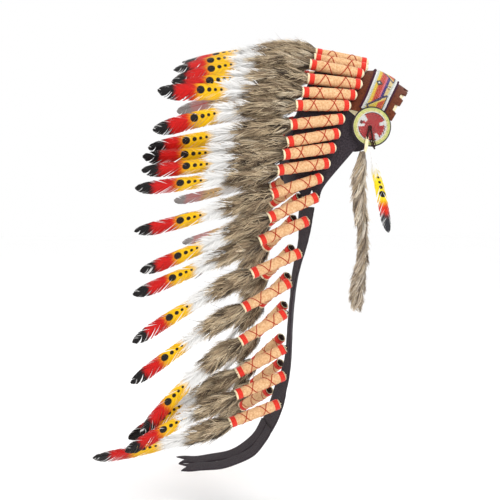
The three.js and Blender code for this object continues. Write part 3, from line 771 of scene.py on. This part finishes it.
def eased(t):
    t = np.clip(t, 0, 1)
    return t * t * (3 - 2 * t)


def underSleeves(j):  # where the band's rear edge lies, sunk below the crown line
    base, _, lean, outward = place(j)
    low = max(0.0, abs(j) - 4.5)
    extra = 0.6 + low if j > 0 else 0.4 * low
    return base + lean * 0.5 - outward * (brow["seat"] + extra)


# Points over the strip: share 0 is under the sleeves, 1 is the front edge.
def browRows(stops, share, lift):
    share = np.asarray(share, float)[None, :, None]
    near = brow["near"]
    rear = np.array([sum(underSleeves(j + k) for k in near) / len(near) for j in stops])[:, None]
    front = np.array([splineAt(browEdge, (j + brow["end"]) / (2 * brow["end"])) for j in stops])[:, None]
    outward = np.array([unit(sum(place(j + k)[3] for k in near)) for j in stops])[:, None]
    low, high = brow["shoulderAt"]
    rise = brow["shoulder"] * eased((share - low) / (high - low)) * (1 - share)
    return rear * (1 - share) + front * share + outward * (brow["bow"] * share * (1 - share) + rise + lift)


def lengths(line):  # how far along the line each of its points lies
    return np.concatenate([[0], np.cumsum(np.linalg.norm(np.diff(line, axis=0), axis=1))])


def arcStops(share, count, reach):  # stations at even steps along the band, and its length there
    fine = np.linspace(-reach, reach, 161)
    run = lengths(browRows(fine, [share], 0)[:, 0])
    return np.interp(np.linspace(0, run[-1], count), run, fine), run[-1]


def sheetPiece(name, grid, thick, finish):
    columns, rows = grid.shape[:2]
    bm = bmesh.new()
    bmesh.ops.create_grid(bm, x_segments=columns - 1, y_segments=rows - 1, size=0.5)
    for vert in bm.verts:
        c, r = round((vert.co.x + 0.5) * (columns - 1)), round((vert.co.y + 0.5) * (rows - 1))
        vert.co = grid[c, r] * millimetre
    bmesh.ops.recalc_face_normals(bm, faces=bm.faces)
    bmesh.ops.solidify(bm, geom=bm.faces[:], thickness=thick * millimetre)
    for face in bm.faces:
        face.smooth = True
    return pieceFromBmesh(name, bm, finish)


tabs = {"count": 7, "half": 10.5, "corner": 3.0, "notch": 0.9, "fray": 0.0012, "columns": 401, "from": 0.8,
        "rows": (0, 0.12, 0.24, 0.36, 0.48, 0.6, 0.7, 0.78, 0.85, 0.9, 0.95, 1.0), "thick": -2.0}
frontStops, frontLong = arcStops(1.0, tabs["columns"], brow["end"])
rng = np.random.default_rng(7)
spot = np.linspace(0, frontLong, tabs["columns"])
beat = frontLong / tabs["count"]
offCentre = np.abs((spot % beat) - beat / 2)
onTab = eased((tabs["half"] + tabs["corner"] / 2 - offCentre) / tabs["corner"])
endShare = tabs["notch"] + (1 - tabs["notch"]) * onTab + rng.normal(0, tabs["fray"], len(spot))
rowShares = np.array(tabs["rows"])
strip = browRows(frontStops, rowShares, 0)
for c, end in enumerate(endShare):  # the last four rows are drawn in to the cut edge
    squeezed = rowShares.copy()
    squeezed[-4:] = np.interp(rowShares[-4:], [tabs["from"], 1.0], [tabs["from"], end])
    strip[c] = browRows([frontStops[c]], squeezed, 0)[0]
band = sheetPiece("brow_band", strip, tabs["thick"], suede)
dress(band, "headband")

lining = {"reach": 4.66, "end": 0.955, "torn": 0.957, "tornDeep": 0.02, "fray": 0.006, "columns": 181,
          "rows": (0.03, 0.3, 0.6, 0.85), "lift": -3.6, "thick": -1.6}
liningStops = arcStops(lining["end"], lining["columns"], lining["reach"])[0]
wander = np.cumsum(rng.normal(0, lining["fray"], lining["columns"])) * 0.5
drift = np.convolve(wander, np.ones(21) / 21, "same")
tornEnds = lining["torn"] + (wander - drift).clip(-lining["tornDeep"], lining["tornDeep"])
liningGrid = np.array([browRows([stop], [*lining["rows"], end], lining["lift"])[0]
                       for stop, end in zip(liningStops, tornEnds)])
liningPiece = sheetPiece("band_lining", liningGrid, lining["thick"], creamFelt)
dress(liningPiece, "headband_lining")

# Beads: white, grey, pale, yellow, orange, red, black, violet, pink, cream, maroon, lime, dark red,
# its darker speck, and light yellow.
beadTones = {"w": tone(246, 246, 244), "g": tone(176, 186, 190), "p": tone(226, 232, 200),
             "y": tone(246, 212, 60), "o": tone(232, 140, 36), "r": tone(214, 66, 34), "k": tone(26, 20, 30),
             "v": tone(70, 40, 140), "i": tone(230, 110, 130), "c": tone(240, 214, 150),
             "m": tone(110, 20, 40), "l": tone(222, 228, 132), "d": tone(206, 46, 56),
             "a": tone(128, 24, 36), "n": tone(250, 238, 168)}
loom = {"rows": 26, "pitch": 1.95, "from": 0.30, "to": 0.745, "inset": 0.008, "share": 0.52, "reach": 4.7,
        "lift": 4.3, "bedLift": 3.0, "bead": (0.96, 1.9, 1.7), "shade": (0.86, 1.06), "loose": 0.09,
        "repeat": 60, "middle": 33, "slant": 19,
        "stripes": ((0.14, "y"), (0.22, "o"), (0.5, "r"), (0.56, "i"), (0.74, "v"))}
# Small crosses on the loom work: how far over the strip, how steep, and the sizes of core and edge.
crosses = {"rear": {"at": 0.16, "steep": 18, "core": 1.6, "edge": 4.4},
           "front": {"at": 0.86, "steep": 14, "core": 1.2, "edge": 3.6}}


# Colour letter of one bead: step along the motif from its middle, and row over the strip's width.
def loomBead(step, row):
    side, last = abs(step), loom["rows"] - 1
    if row < 2 or row > last - 2:
        return "w"
    if row in (2, last - 2):
        return "g" if step % 2 else "w"
    over = (row - 4) / (last - 7)
    inside = loom["repeat"] / 2 - side - loom["slant"] * over  # beads from the large triangle's edge
    if row == 3:
        return "k" if inside < 1.5 else "p"
    if row == last - 3:
        return "k" if inside < 0 else "p"
    if abs(inside) < 1.7:
        return "k" if (row + step) % 3 else "v"
    if inside < 0:
        if over > 0.6 and inside < -4:
            return "o" if inside > -5.5 or row == last - 4 else "r"
        return "c" if inside > -3 else "y"
    rear, front = (side + abs(over - cross["at"]) * cross["steep"] for cross in crosses.values())
    if over < 0.42 and rear < crosses["rear"]["edge"]:
        return "w" if rear < crosses["rear"]["core"] else "k"
    for edge, letter in loom["stripes"]:
        if over < edge:
            return "k" if letter == "v" and (step * 2 + row) % 5 == 0 else letter
    if front < crosses["front"]["core"]:
        return "w"
    return "k" if front < crosses["front"]["edge"] and (row + side) % 2 else "c"


beadTemplate, beadQuads = gridTemplate(2, 6)


def addBeads(batch, slot, centre, axis, aside, up, tints, size):
    t = beadTemplate[:, 0] - 0.5
    turn = 2 * math.pi * beadTemplate[:, 1]
    swell = (1 - 0.9 * t ** 2) / 2
    points = (centre[:, None] + axis[:, None] * (t * size[0])[None, :, None]
              + aside[:, None] * (np.cos(turn) * swell * size[1])[None, :, None]
              + up[:, None] * (np.sin(turn) * swell * size[2])[None, :, None])
    quads = repeatQuads(beadQuads, len(centre), len(beadTemplate))
    addPatch(batch, points, quads, slot, np.repeat(tints, len(beadTemplate), axis=0))


def loomStep(column):  # place of a column of beads in the repeat, mirrored about the band's middle
    half = loom["repeat"] // 2
    return (abs(column - beadCount // 2) - loom["middle"] + half) % loom["repeat"] - half


beadLong = arcStops(loom["share"], 12, loom["reach"])[1]
beadCount = int(beadLong / loom["pitch"])
beadStops = arcStops(loom["share"], beadCount, loom["reach"])[0]
beadShares = np.linspace(loom["from"] + loom["inset"], loom["to"] - loom["inset"], loom["rows"])
beadSpots = browRows(beadStops, beadShares, loom["lift"])
alongWay = unit(np.gradient(beadSpots, axis=0))
acrossWay = np.gradient(beadSpots, axis=1)
beadWide = np.linalg.norm(acrossWay, axis=2).mean()
acrossWay = unit(acrossWay)
upWay = np.cross(alongWay, acrossWay)
upWay *= np.sign((upWay * browRows(beadStops, beadShares, 1)).sum(axis=2, keepdims=True))
rng = np.random.default_rng(11)
letters = [loomBead(loomStep(c), r) for c in range(beadCount) for r in range(loom["rows"])]
tints = np.array([beadTones[x] for x in letters]) * rng.uniform(*loom["shade"], (len(letters), 1))
batch = newBatch()
bedStops = arcStops(loom["share"], 61, loom["reach"])[0]
bed = browRows(bedStops, np.linspace(loom["from"], loom["to"], 9), loom["bedLift"])
order, quads = gridOrder(60, 8)
addPatch(batch, bed[order[:, 0], order[:, 1]], quads, 0)
jitter = rng.normal(0, loom["loose"], (len(tints), 3))
beadSize = (beadWide * loom["bead"][0], *loom["bead"][1:])
addBeads(batch, 1, beadSpots.reshape(-1, 3) + jitter, acrossWay.reshape(-1, 3), alongWay.reshape(-1, 3),
         upWay.reshape(-1, 3), tints, beadSize)
dress(pieceFrom("loom_beads", batch, [creamFelt, beadGlass]), "bead_strip")


def frameWays(spots, hint):  # two ways square to a line
    run = unit(np.gradient(spots, axis=0))
    wayA = unit(np.cross(run, np.broadcast_to(hint, spots.shape)))
    return wayA, np.cross(run, wayA)


# Edge cords: two plied yarns wound round a line.
edgeCord = {"yarn": 1.05, "pitch": 5.0, "lift": 2.9, "reach": 4.68, "rings": 261, "hint": (0.0, 1.0, 0.2),
            "shares": {"rear": 0.272, "front": 0.768}}


def addTwist(batch, spots, slot):
    wayA, wayB = frameWays(spots, edgeCord["hint"])
    yarn = edgeCord["yarn"]
    for start in (0.0, math.pi):
        angle = (start + 2 * math.pi * lengths(spots) / edgeCord["pitch"])[:, None]
        line = spots + (wayA * np.cos(angle) + wayB * np.sin(angle)) * yarn * 0.85
        addTube(batch, line, *frameWays(line, edgeCord["hint"]), yarn, yarn, slot, 6)


for end, share in edgeCord["shares"].items():
    stops = arcStops(share, edgeCord["rings"], edgeCord["reach"])[0]
    batch = newBatch()
    addTwist(batch, browRows(stops, [share], edgeCord["lift"])[:, 0], 0)
    dress(pieceFrom(f"piping_{end}", batch, [edgeThread]), f"edge_cord_{end}")
print("stage: brow band", flush=True)

# Rosettes of seed beads in rings: the zones are the radii that each part of the pattern begins at.
rosette = {"radius": 36.0, "place": (94, -3, 37), "slant": 4.0, "ring": 1.72, "bead": 1.62, "rim": 0.6,
           "size": (1.55, 1.75, 1.6), "shade": (0.84, 1.08), "loose": 0.06,
           "domeAt": (0, 10, 32, 36), "dome": (4.5, 4.4, 3.8, 2.8),
           "base": ((0.2, 3.9), (16, 3.6), (31, 3.2), (35.2, 2.2), (35.4, 1.6)), "baseSides": 48,
           "felt": {"radius": 38.0, "thick": 2.4, "bevel": 0.7}, "feltSides": 64}
zones = {"lime": 32.4, "pale": 29.2, "white": 27.2, "fieldEdge": 25.2, "teeth": 22.6, "blocks": 15.0}


# Colour letter of one rosette bead by its radius and its angle from the front, upwards.
def rosetteBead(r, angle):
    if r > zones["lime"]:
        return "l"
    if r > zones["pale"]:
        return "n" if int(angle / 5) % 4 else "l"
    if r > zones["white"]:
        return "w"
    if r > zones["teeth"] and not 6 <= angle <= 306:
        return "m" if int((angle + r * 2.2) / 7) % 2 else "w"
    if r > zones["blocks"] and 124 < angle < 179:
        if 150 < angle < 166 and 19 < r < 25:
            return "m"
        return "d" if 146 < angle < 162 and r < 20 else "w"
    if r > zones["blocks"] and (6 <= angle < 25 or 286 < angle <= 306):
        return "w"
    if r > zones["fieldEdge"]:
        return "m"
    return "a" if (int(r * 1.7) + int(angle / 7)) % 5 == 0 else "d"


def roundWay(frontWay, angle):  # from the middle, at an angle from the front, upwards
    return frontWay * np.cos(angle)[:, None] + np.array([0.0, 0.0, 1.0]) * np.sin(angle)[:, None]


for side, sign in (("right", -1), ("left", 1)):
    spin = Matrix.Rotation(math.radians(-sign * rosette["slant"]), 3, "Z")
    outWay = np.array(spin @ Vector((sign, 0, 0)))
    frontWay = np.array(spin @ Vector((0, -1, 0)))
    x, y, z = rosette["place"]
    centre = np.array([sign * x, y, z], float)
    rng = np.random.default_rng(30 + sign)
    batch = newBatch()
    rings = np.arange(rosette["ring"], rosette["radius"] - rosette["rim"], rosette["ring"])
    for r in [0.6, *rings]:
        count = max(3, int(2 * math.pi * r / rosette["bead"]))
        angle = (np.arange(count) + rng.random()) * 2 * math.pi / count
        radial, tangent = roundWay(frontWay, angle), roundWay(frontWay, angle + math.pi / 2)
        letters = [rosetteBead(r, math.degrees(a) % 360) for a in angle]
        tints = np.array([beadTones[x] for x in letters]) * rng.uniform(*rosette["shade"], (count, 1))
        height = np.interp(r, rosette["domeAt"], rosette["dome"])
        middle = centre + radial * r + outWay * height + rng.normal(0, rosette["loose"], (count, 3))
        outWays = np.broadcast_to(outWay, (count, 3))
        addBeads(batch, 1, middle, tangent, radial, outWays, tints, rosette["size"])
    order, quads = gridOrder(len(rosette["base"]) - 1, rosette["baseSides"])
    reach, height = np.array(rosette["base"])[order[:, 0]].T[..., None]
    radial = roundWay(frontWay, 2 * math.pi * order[:, 1] / rosette["baseSides"])
    addPatch(batch, centre + radial * reach + outWay * height, quads, 0)
    face = pieceFrom(f"rosette_beads_{side}", batch, [creamFelt, beadGlass])
    dress(face, f"rosette_face_{side}")
    felt = {key: value * millimetre for key, value in rosette["felt"].items()}
    bm = bmesh.new()
    bmesh.ops.create_cone(bm, cap_ends=True, segments=rosette["feltSides"], radius1=felt["radius"],
                          radius2=felt["radius"], depth=felt["thick"])
    rim = [e for e in bm.edges if len(e.link_faces) == 2 and any(len(f.verts) > 4 for f in e.link_faces)]
    bmesh.ops.bevel(bm, geom=rim, offset=felt["bevel"], affect="EDGES", segments=3, profile=0.5, material=-1)
    turnTo = Vector(outWay).to_track_quat("Z", "Y").to_matrix()
    bmesh.ops.rotate(bm, verts=bm.verts, matrix=turnTo, cent=(0, 0, 0))
    bmesh.ops.translate(bm, verts=bm.verts, vec=Vector(centre) * millimetre)
    dress(pieceFromBmesh(f"rosette_felt_{side}", bm, blackFelt), f"rosette_backing_{side}")
print("stage: rosettes", flush=True)

# Dark tie and pale thong on the right rosette.
tie = {"radius": 1.6, "hint": (1.0, 0.0, 0.12),
       "run": [(-101.5, 1, 36), (-103, -2, 24), (-103, -3.4, 13), (-102, -5, 3), (-101, -8, -6)],
       "knot": {"place": (-102.6, 1.4, 34.6), "tilts": (0.3, 1.3, 2.4), "radii": (1.6, 2.6, 2.9),
                "lean": 2.2},
       "short": [(-101.5, 2.2, 34), (-102.8, 4.6, 27), (-102.8, 6.2, 20), (-102.4, 6.6, 13)],
       "shortRadii": (1.9, 1.3), "loopRadius": 0.9,
       "loops": [(-102.6, -3.6, 8.5, 4.6, 0.5), (-102.8, -6.4, 1.5, 4.2, 2.0),
                 (-102.4, -3.4, 3.4, 3.2, 1.2)]}
thong = {"run": [(-102.5, 6.4, 17), (-102.5, 7.4, 8), (-101, 8, 0), (-99, 9.5, -8), (-99, 11, -13)],
         "wideAt": (0, 0.4, 1), "wide": (2.4, 3.6, 2.2), "thick": 0.9, "rings": 21}


def splineRun(points, count):
    keys = [np.array(p, float) for p in points]
    return np.array([splineAt(keys, t) for t in np.linspace(0, 1, count)])


def addCurve(batch, spots, radiusA, radiusB, sides=8):
    addTube(batch, spots, *frameWays(spots, tie["hint"]), radiusA, radiusB, 0, sides)


tieLine = splineRun(tie["run"], 33)
batch = newBatch()
addCurve(batch, tieLine, tie["radius"], tie["radius"])
tiePiece = pieceFrom("rosette_tie", batch, [brownTie])
batch = newBatch()
knot = tie["knot"]
around = np.linspace(0, 2 * math.pi, 25)
deep, wide, high = knot["radii"]
for tilt in knot["tilts"]:  # three turns of the knot
    sine, cosine = math.sin(tilt), math.cos(tilt)
    first = [0, wide * cosine, high * sine]
    second = [-deep, knot["lean"] * sine, -knot["lean"] * cosine]
    ring = np.outer(np.cos(around), first) + np.outer(np.sin(around), second) + knot["place"]
    addCurve(batch, ring, tie["radius"], tie["radius"])
addCurve(batch, splineRun(tie["short"], 17), *tie["shortRadii"])
for *middle, size, lean in tie["loops"]:  # slack loops where the ends are knotted
    lineUp = [0.8 * np.sin(around + lean), size * np.cos(around), size * 0.7 * np.sin(around)]
    upright = np.stack(lineUp, axis=1)
    ring = upright @ np.array(Matrix.Rotation(lean, 3, "X")).T + middle
    addCurve(batch, ring, tie["loopRadius"], tie["loopRadius"], 6)
knotPiece = pieceFrom("tie_knot", batch, [brownTie])
batch = newBatch()
taper = np.interp(np.linspace(0, 1, thong["rings"]), thong["wideAt"], thong["wide"])
addCurve(batch, splineRun(thong["run"], thong["rings"]), taper, thong["thick"])
thongPiece = pieceFrom("tail_thong", batch, [creamFelt])
dress(tiePiece, "rosette_lace_right")
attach(knotPiece, "root")
dress(thongPiece, "tail_thong_right")
print("stage: ties", flush=True)


# Fur tail and small feather that hang from the right rosette.

def hangingPath(x, top, long, at, back, aside):
    reach = np.arange(0.0, long, 1.0)
    spots = np.stack([np.full(len(reach), x), np.interp(reach, at, back), top - reach], axis=1)
    across, out = np.zeros_like(spots), np.zeros_like(spots)
    across[:, 1] = aside
    out[:, 0] = -1.0
    return {"reach": reach, "spots": spots, "across": across, "out": out}


# Down the tail: how far back it hangs and half its width. "hair" is where its hair starts and ends.
tail = {"at": (0, 10, 30, 52, 94, 143, 168, 212, 252, 286, 302, 310),
        "back": (15, 15, 16.5, 21.5, 21.5, 15, 12.5, 15, 22, 25, 23.5, 22),
        "half": (9, 11, 11, 15, 14.5, 12, 10.5, 12, 14.5, 14, 9, 3), "deepest": 12.0, "skin": 0.92,
        "x": -99.0, "top": -10.0, "long": 311.0, "hair": (3.0, 306.0),
        "core": 0.6, "coreTone": tone(120, 106, 92)}
tailPath = hangingPath(tail["x"], tail["top"], tail["long"], tail["at"], tail["back"], 1.0)
tailCoat = {"locks": 260, "each": 15, "short": 24, "swirl": 0.12, "twist": 0.056, "long": (28, 46),
            "wisp": 3, "loose": 1.1, "width": (0.8, 1.8), "rootShade": 0.52, "endShade": 0.8,
            "tones": tailTones}


def tailSkin(r, turn, lift):
    half = shapeAt(tail, "half", r) * tail["skin"]
    return skinAt(tailPath, r, turn, half * lift, np.minimum(half, tail["deepest"]) * lift)


batch = newBatch()
core = np.linspace(2, 296, 40)
coreHalf = shapeAt(tail, "half", core) * tail["core"]
addPathTube(batch, tailPath, core, coreHalf, coreHalf, 0, 10, tint=tail["coreTone"])
addLocks(batch, np.random.default_rng(77), 0, tailSkin, tailPath, *tail["hair"], tailCoat)
dress(pieceFrom("hanging_tail", batch, [furHair]), "fur_tail_right")

drop = {"x": -102.0, "top": -12.0, "long": 155.0, "at": (0, 16, 38, 63, 91, 114, 132, 154),
        "back": (0, -5, -12, -19.5, -26, -30.5, -33.4, -36), "downSize": 0.5, "downs": 150, "barbs": 80}
dropRow = {"long": 153.0, "fur": 26.0, "roll": 0.0, "dotBack": 74.0, "size": 0.82, "broad": 0.62,
           "zones": (36.0, 58.0, 118.0),
           "paints": {"yellow": tone(255, 226, 30), "red": tone(222, 46, 22), "black": tone(50, 50, 54)}}
dropPath = hangingPath(drop["x"], drop["top"], drop["long"], drop["at"], drop["back"], -1.0)
rng = np.random.default_rng(78)
batch = newBatch()
addDown(batch, rng, dropPath, {**dropRow, "size": drop["downSize"]}, 0, drop["downs"])
addVane(batch, rng, dropPath, dropRow, 1, drop["barbs"])
dress(pieceFrom("small_feather", batch, [downHair, feather]), "drop_feather_right")
print("stage: tail and small feather", flush=True)


# Felt trailer: a panel that runs on into two forked tails. Its rows are up, half width, and back of
# the right and left edges.

def smoothed(values, width):
    padded = np.pad(values, width // 2, "reflect", reflect_type="odd")
    return np.convolve(padded, np.ones(width) / width, "valid")


panelTable = [(-116, 72, 104, 116), (-140, 71, 107, 119), (-165, 68, 112, 118), (-200, 65, 122, 122),
              (-248, 61, 138, 134), (-303, 59, 147, 138), (-344, 57, 149, 142), (-392, 56, 150, 146),
              (-440, 54, 151, 150), (-480, 53, 156, 168), (-523, 52, 166, 180), (-560, 51, 186, 197)]
panel = {"rows": 67, "columns": 13, "bow": 7.0, "foot": -560.0, "flatFoot": 100.0, "leftIn": 4.0,
         "wander": 1.6, "thick": 2.4}
steps = np.linspace(0, len(panelTable) - 1, panel["rows"])
up, half, rightBack, leftBack = (smoothed(np.interp(steps, range(len(panelTable)), column), 7)
                                 for column in zip(*panelTable))
rng = np.random.default_rng(90)
wander = np.convolve(rng.normal(0, 1.0, panel["rows"] + 8), np.ones(9) / 9, "valid") * panel["wander"]
grid = np.zeros((panel["rows"], panel["columns"], 3))
for c, x in enumerate(np.linspace(-1, 1, panel["columns"])):
    overFoot = np.minimum(1, (up - panel["foot"]) / panel["flatFoot"])
    bow = panel["bow"] * overFoot * (1 - x * x)  # flat at the foot
    back = rightBack + (leftBack - rightBack) * (x + 1) / 2
    grid[:, c, 0] = x * half - panel["leftIn"] * max(x, 0)
    grid[:, c, 1] = back - bow + wander * (0.4 + 0.6 * abs(x))
    grid[:, c, 2] = up
panelPiece = sheetPiece("trailer_felt", grid, panel["thick"], blackFelt)
dress(panelPiece, "trailer_panel")

# The tails bend, back and up, from the panel's foot to where they lie flat.
strapRun = [(184, -553), (191, -569), (203, -587), (222, -606), (250, -620), (284, -628), (318, -631)]
straps = {"bend": 49, "flat": 16, "columns": 11, "half": 25.5, "end": 344.0, "fork": 17.0, "sag": 0.8,
          "crown": 1.2, "ripple": (0.8, 0.35), "slant": 3.0, "thick": 2.2,
          "waistAt": (0, 50, 64), "waist": (0.98, 1.0, 0.94),
          "each": (("right", -28.0, 3.0), ("left", 25.0, 9.0))}
steps = np.linspace(0, len(strapRun) - 1, straps["bend"])
bendBack, bendUp = (smoothed(np.interp(steps, range(len(strapRun)), column), 9) for column in zip(*strapRun))
flatUp = bendUp[-1] - straps["sag"] * np.linspace(0, 1, straps["flat"])
number = np.arange(straps["bend"] + straps["flat"])
waist = np.interp(number, straps["waistAt"], straps["waist"]) * straps["half"]
rippleHigh, rippleTurn = straps["ripple"]
for side, middle, shift in straps["each"]:
    grid = np.zeros((len(number), straps["columns"], 3))
    for c, x in enumerate(np.linspace(-1, 1, straps["columns"])):
        end = straps["end"] + straps["fork"] * abs(x) ** 0.8
        flatBack = np.linspace(bendBack[-1], end, straps["flat"] + 1)[1:]
        ripple = rippleHigh * np.sin(number * rippleTurn + middle)
        grid[:, c, 0] = middle + x * waist
        grid[:, c, 1] = np.concatenate([bendBack, flatBack]) + shift + straps["slant"] * x
        grid[:, c, 2] = np.concatenate([bendUp, flatUp]) + straps["crown"] * (1 - x * x) + ripple
    strap = sheetPiece(f"tail_felt_{side}", grid, straps["thick"], blackFelt)
    dress(strap, f"trailer_tail_{side}")
print("stage: trailer", flush=True)

# Felt crown and skull cap: the frame's own sheets, made round and fine.
softSheets = [{"node": "felt_crown", "name": "crown_felt", "flat": (0.74, 0.13)},
              {"node": "skull_cap", "name": "cap_felt", "flat": (0.3, 0.3)}]
for felt in softSheets:
    bm = bmesh.new()
    bm.from_mesh(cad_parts[felt["node"]].data)
    bmesh.ops.remove_doubles(bm, verts=bm.verts, dist=0.02 * millimetre)
    bmesh.ops.join_triangles(bm, faces=bm.faces[:], angle_face_threshold=0.7, angle_shape_threshold=1.2)
    for face in bm.faces:
        face.smooth = True
    piece = pieceFromBmesh(felt["name"], bm, blackFelt)
    soften = piece.modifiers.new("soften", "SUBSURF")
    soften.levels = 2
    soften.render_levels = 2
    dress(piece, felt["node"])
print("stage: felt", flush=True)

floorPaint = grainMaterial("floorPaint", (0.996, 0.996, 0.996), (1.0, 1.0, 1.0),
                           scale=40, depth=0.02, roughness=0.9)
floorPlace = {"size": 14.0, "up": -0.72}  # metres
bm = bmesh.new()
bmesh.ops.create_grid(bm, x_segments=1, y_segments=1, size=floorPlace["size"])
bmesh.ops.translate(bm, verts=bm.verts, vec=(0, 0, floorPlace["up"]))
pieceFromBmesh("floor", bm, floorPaint)
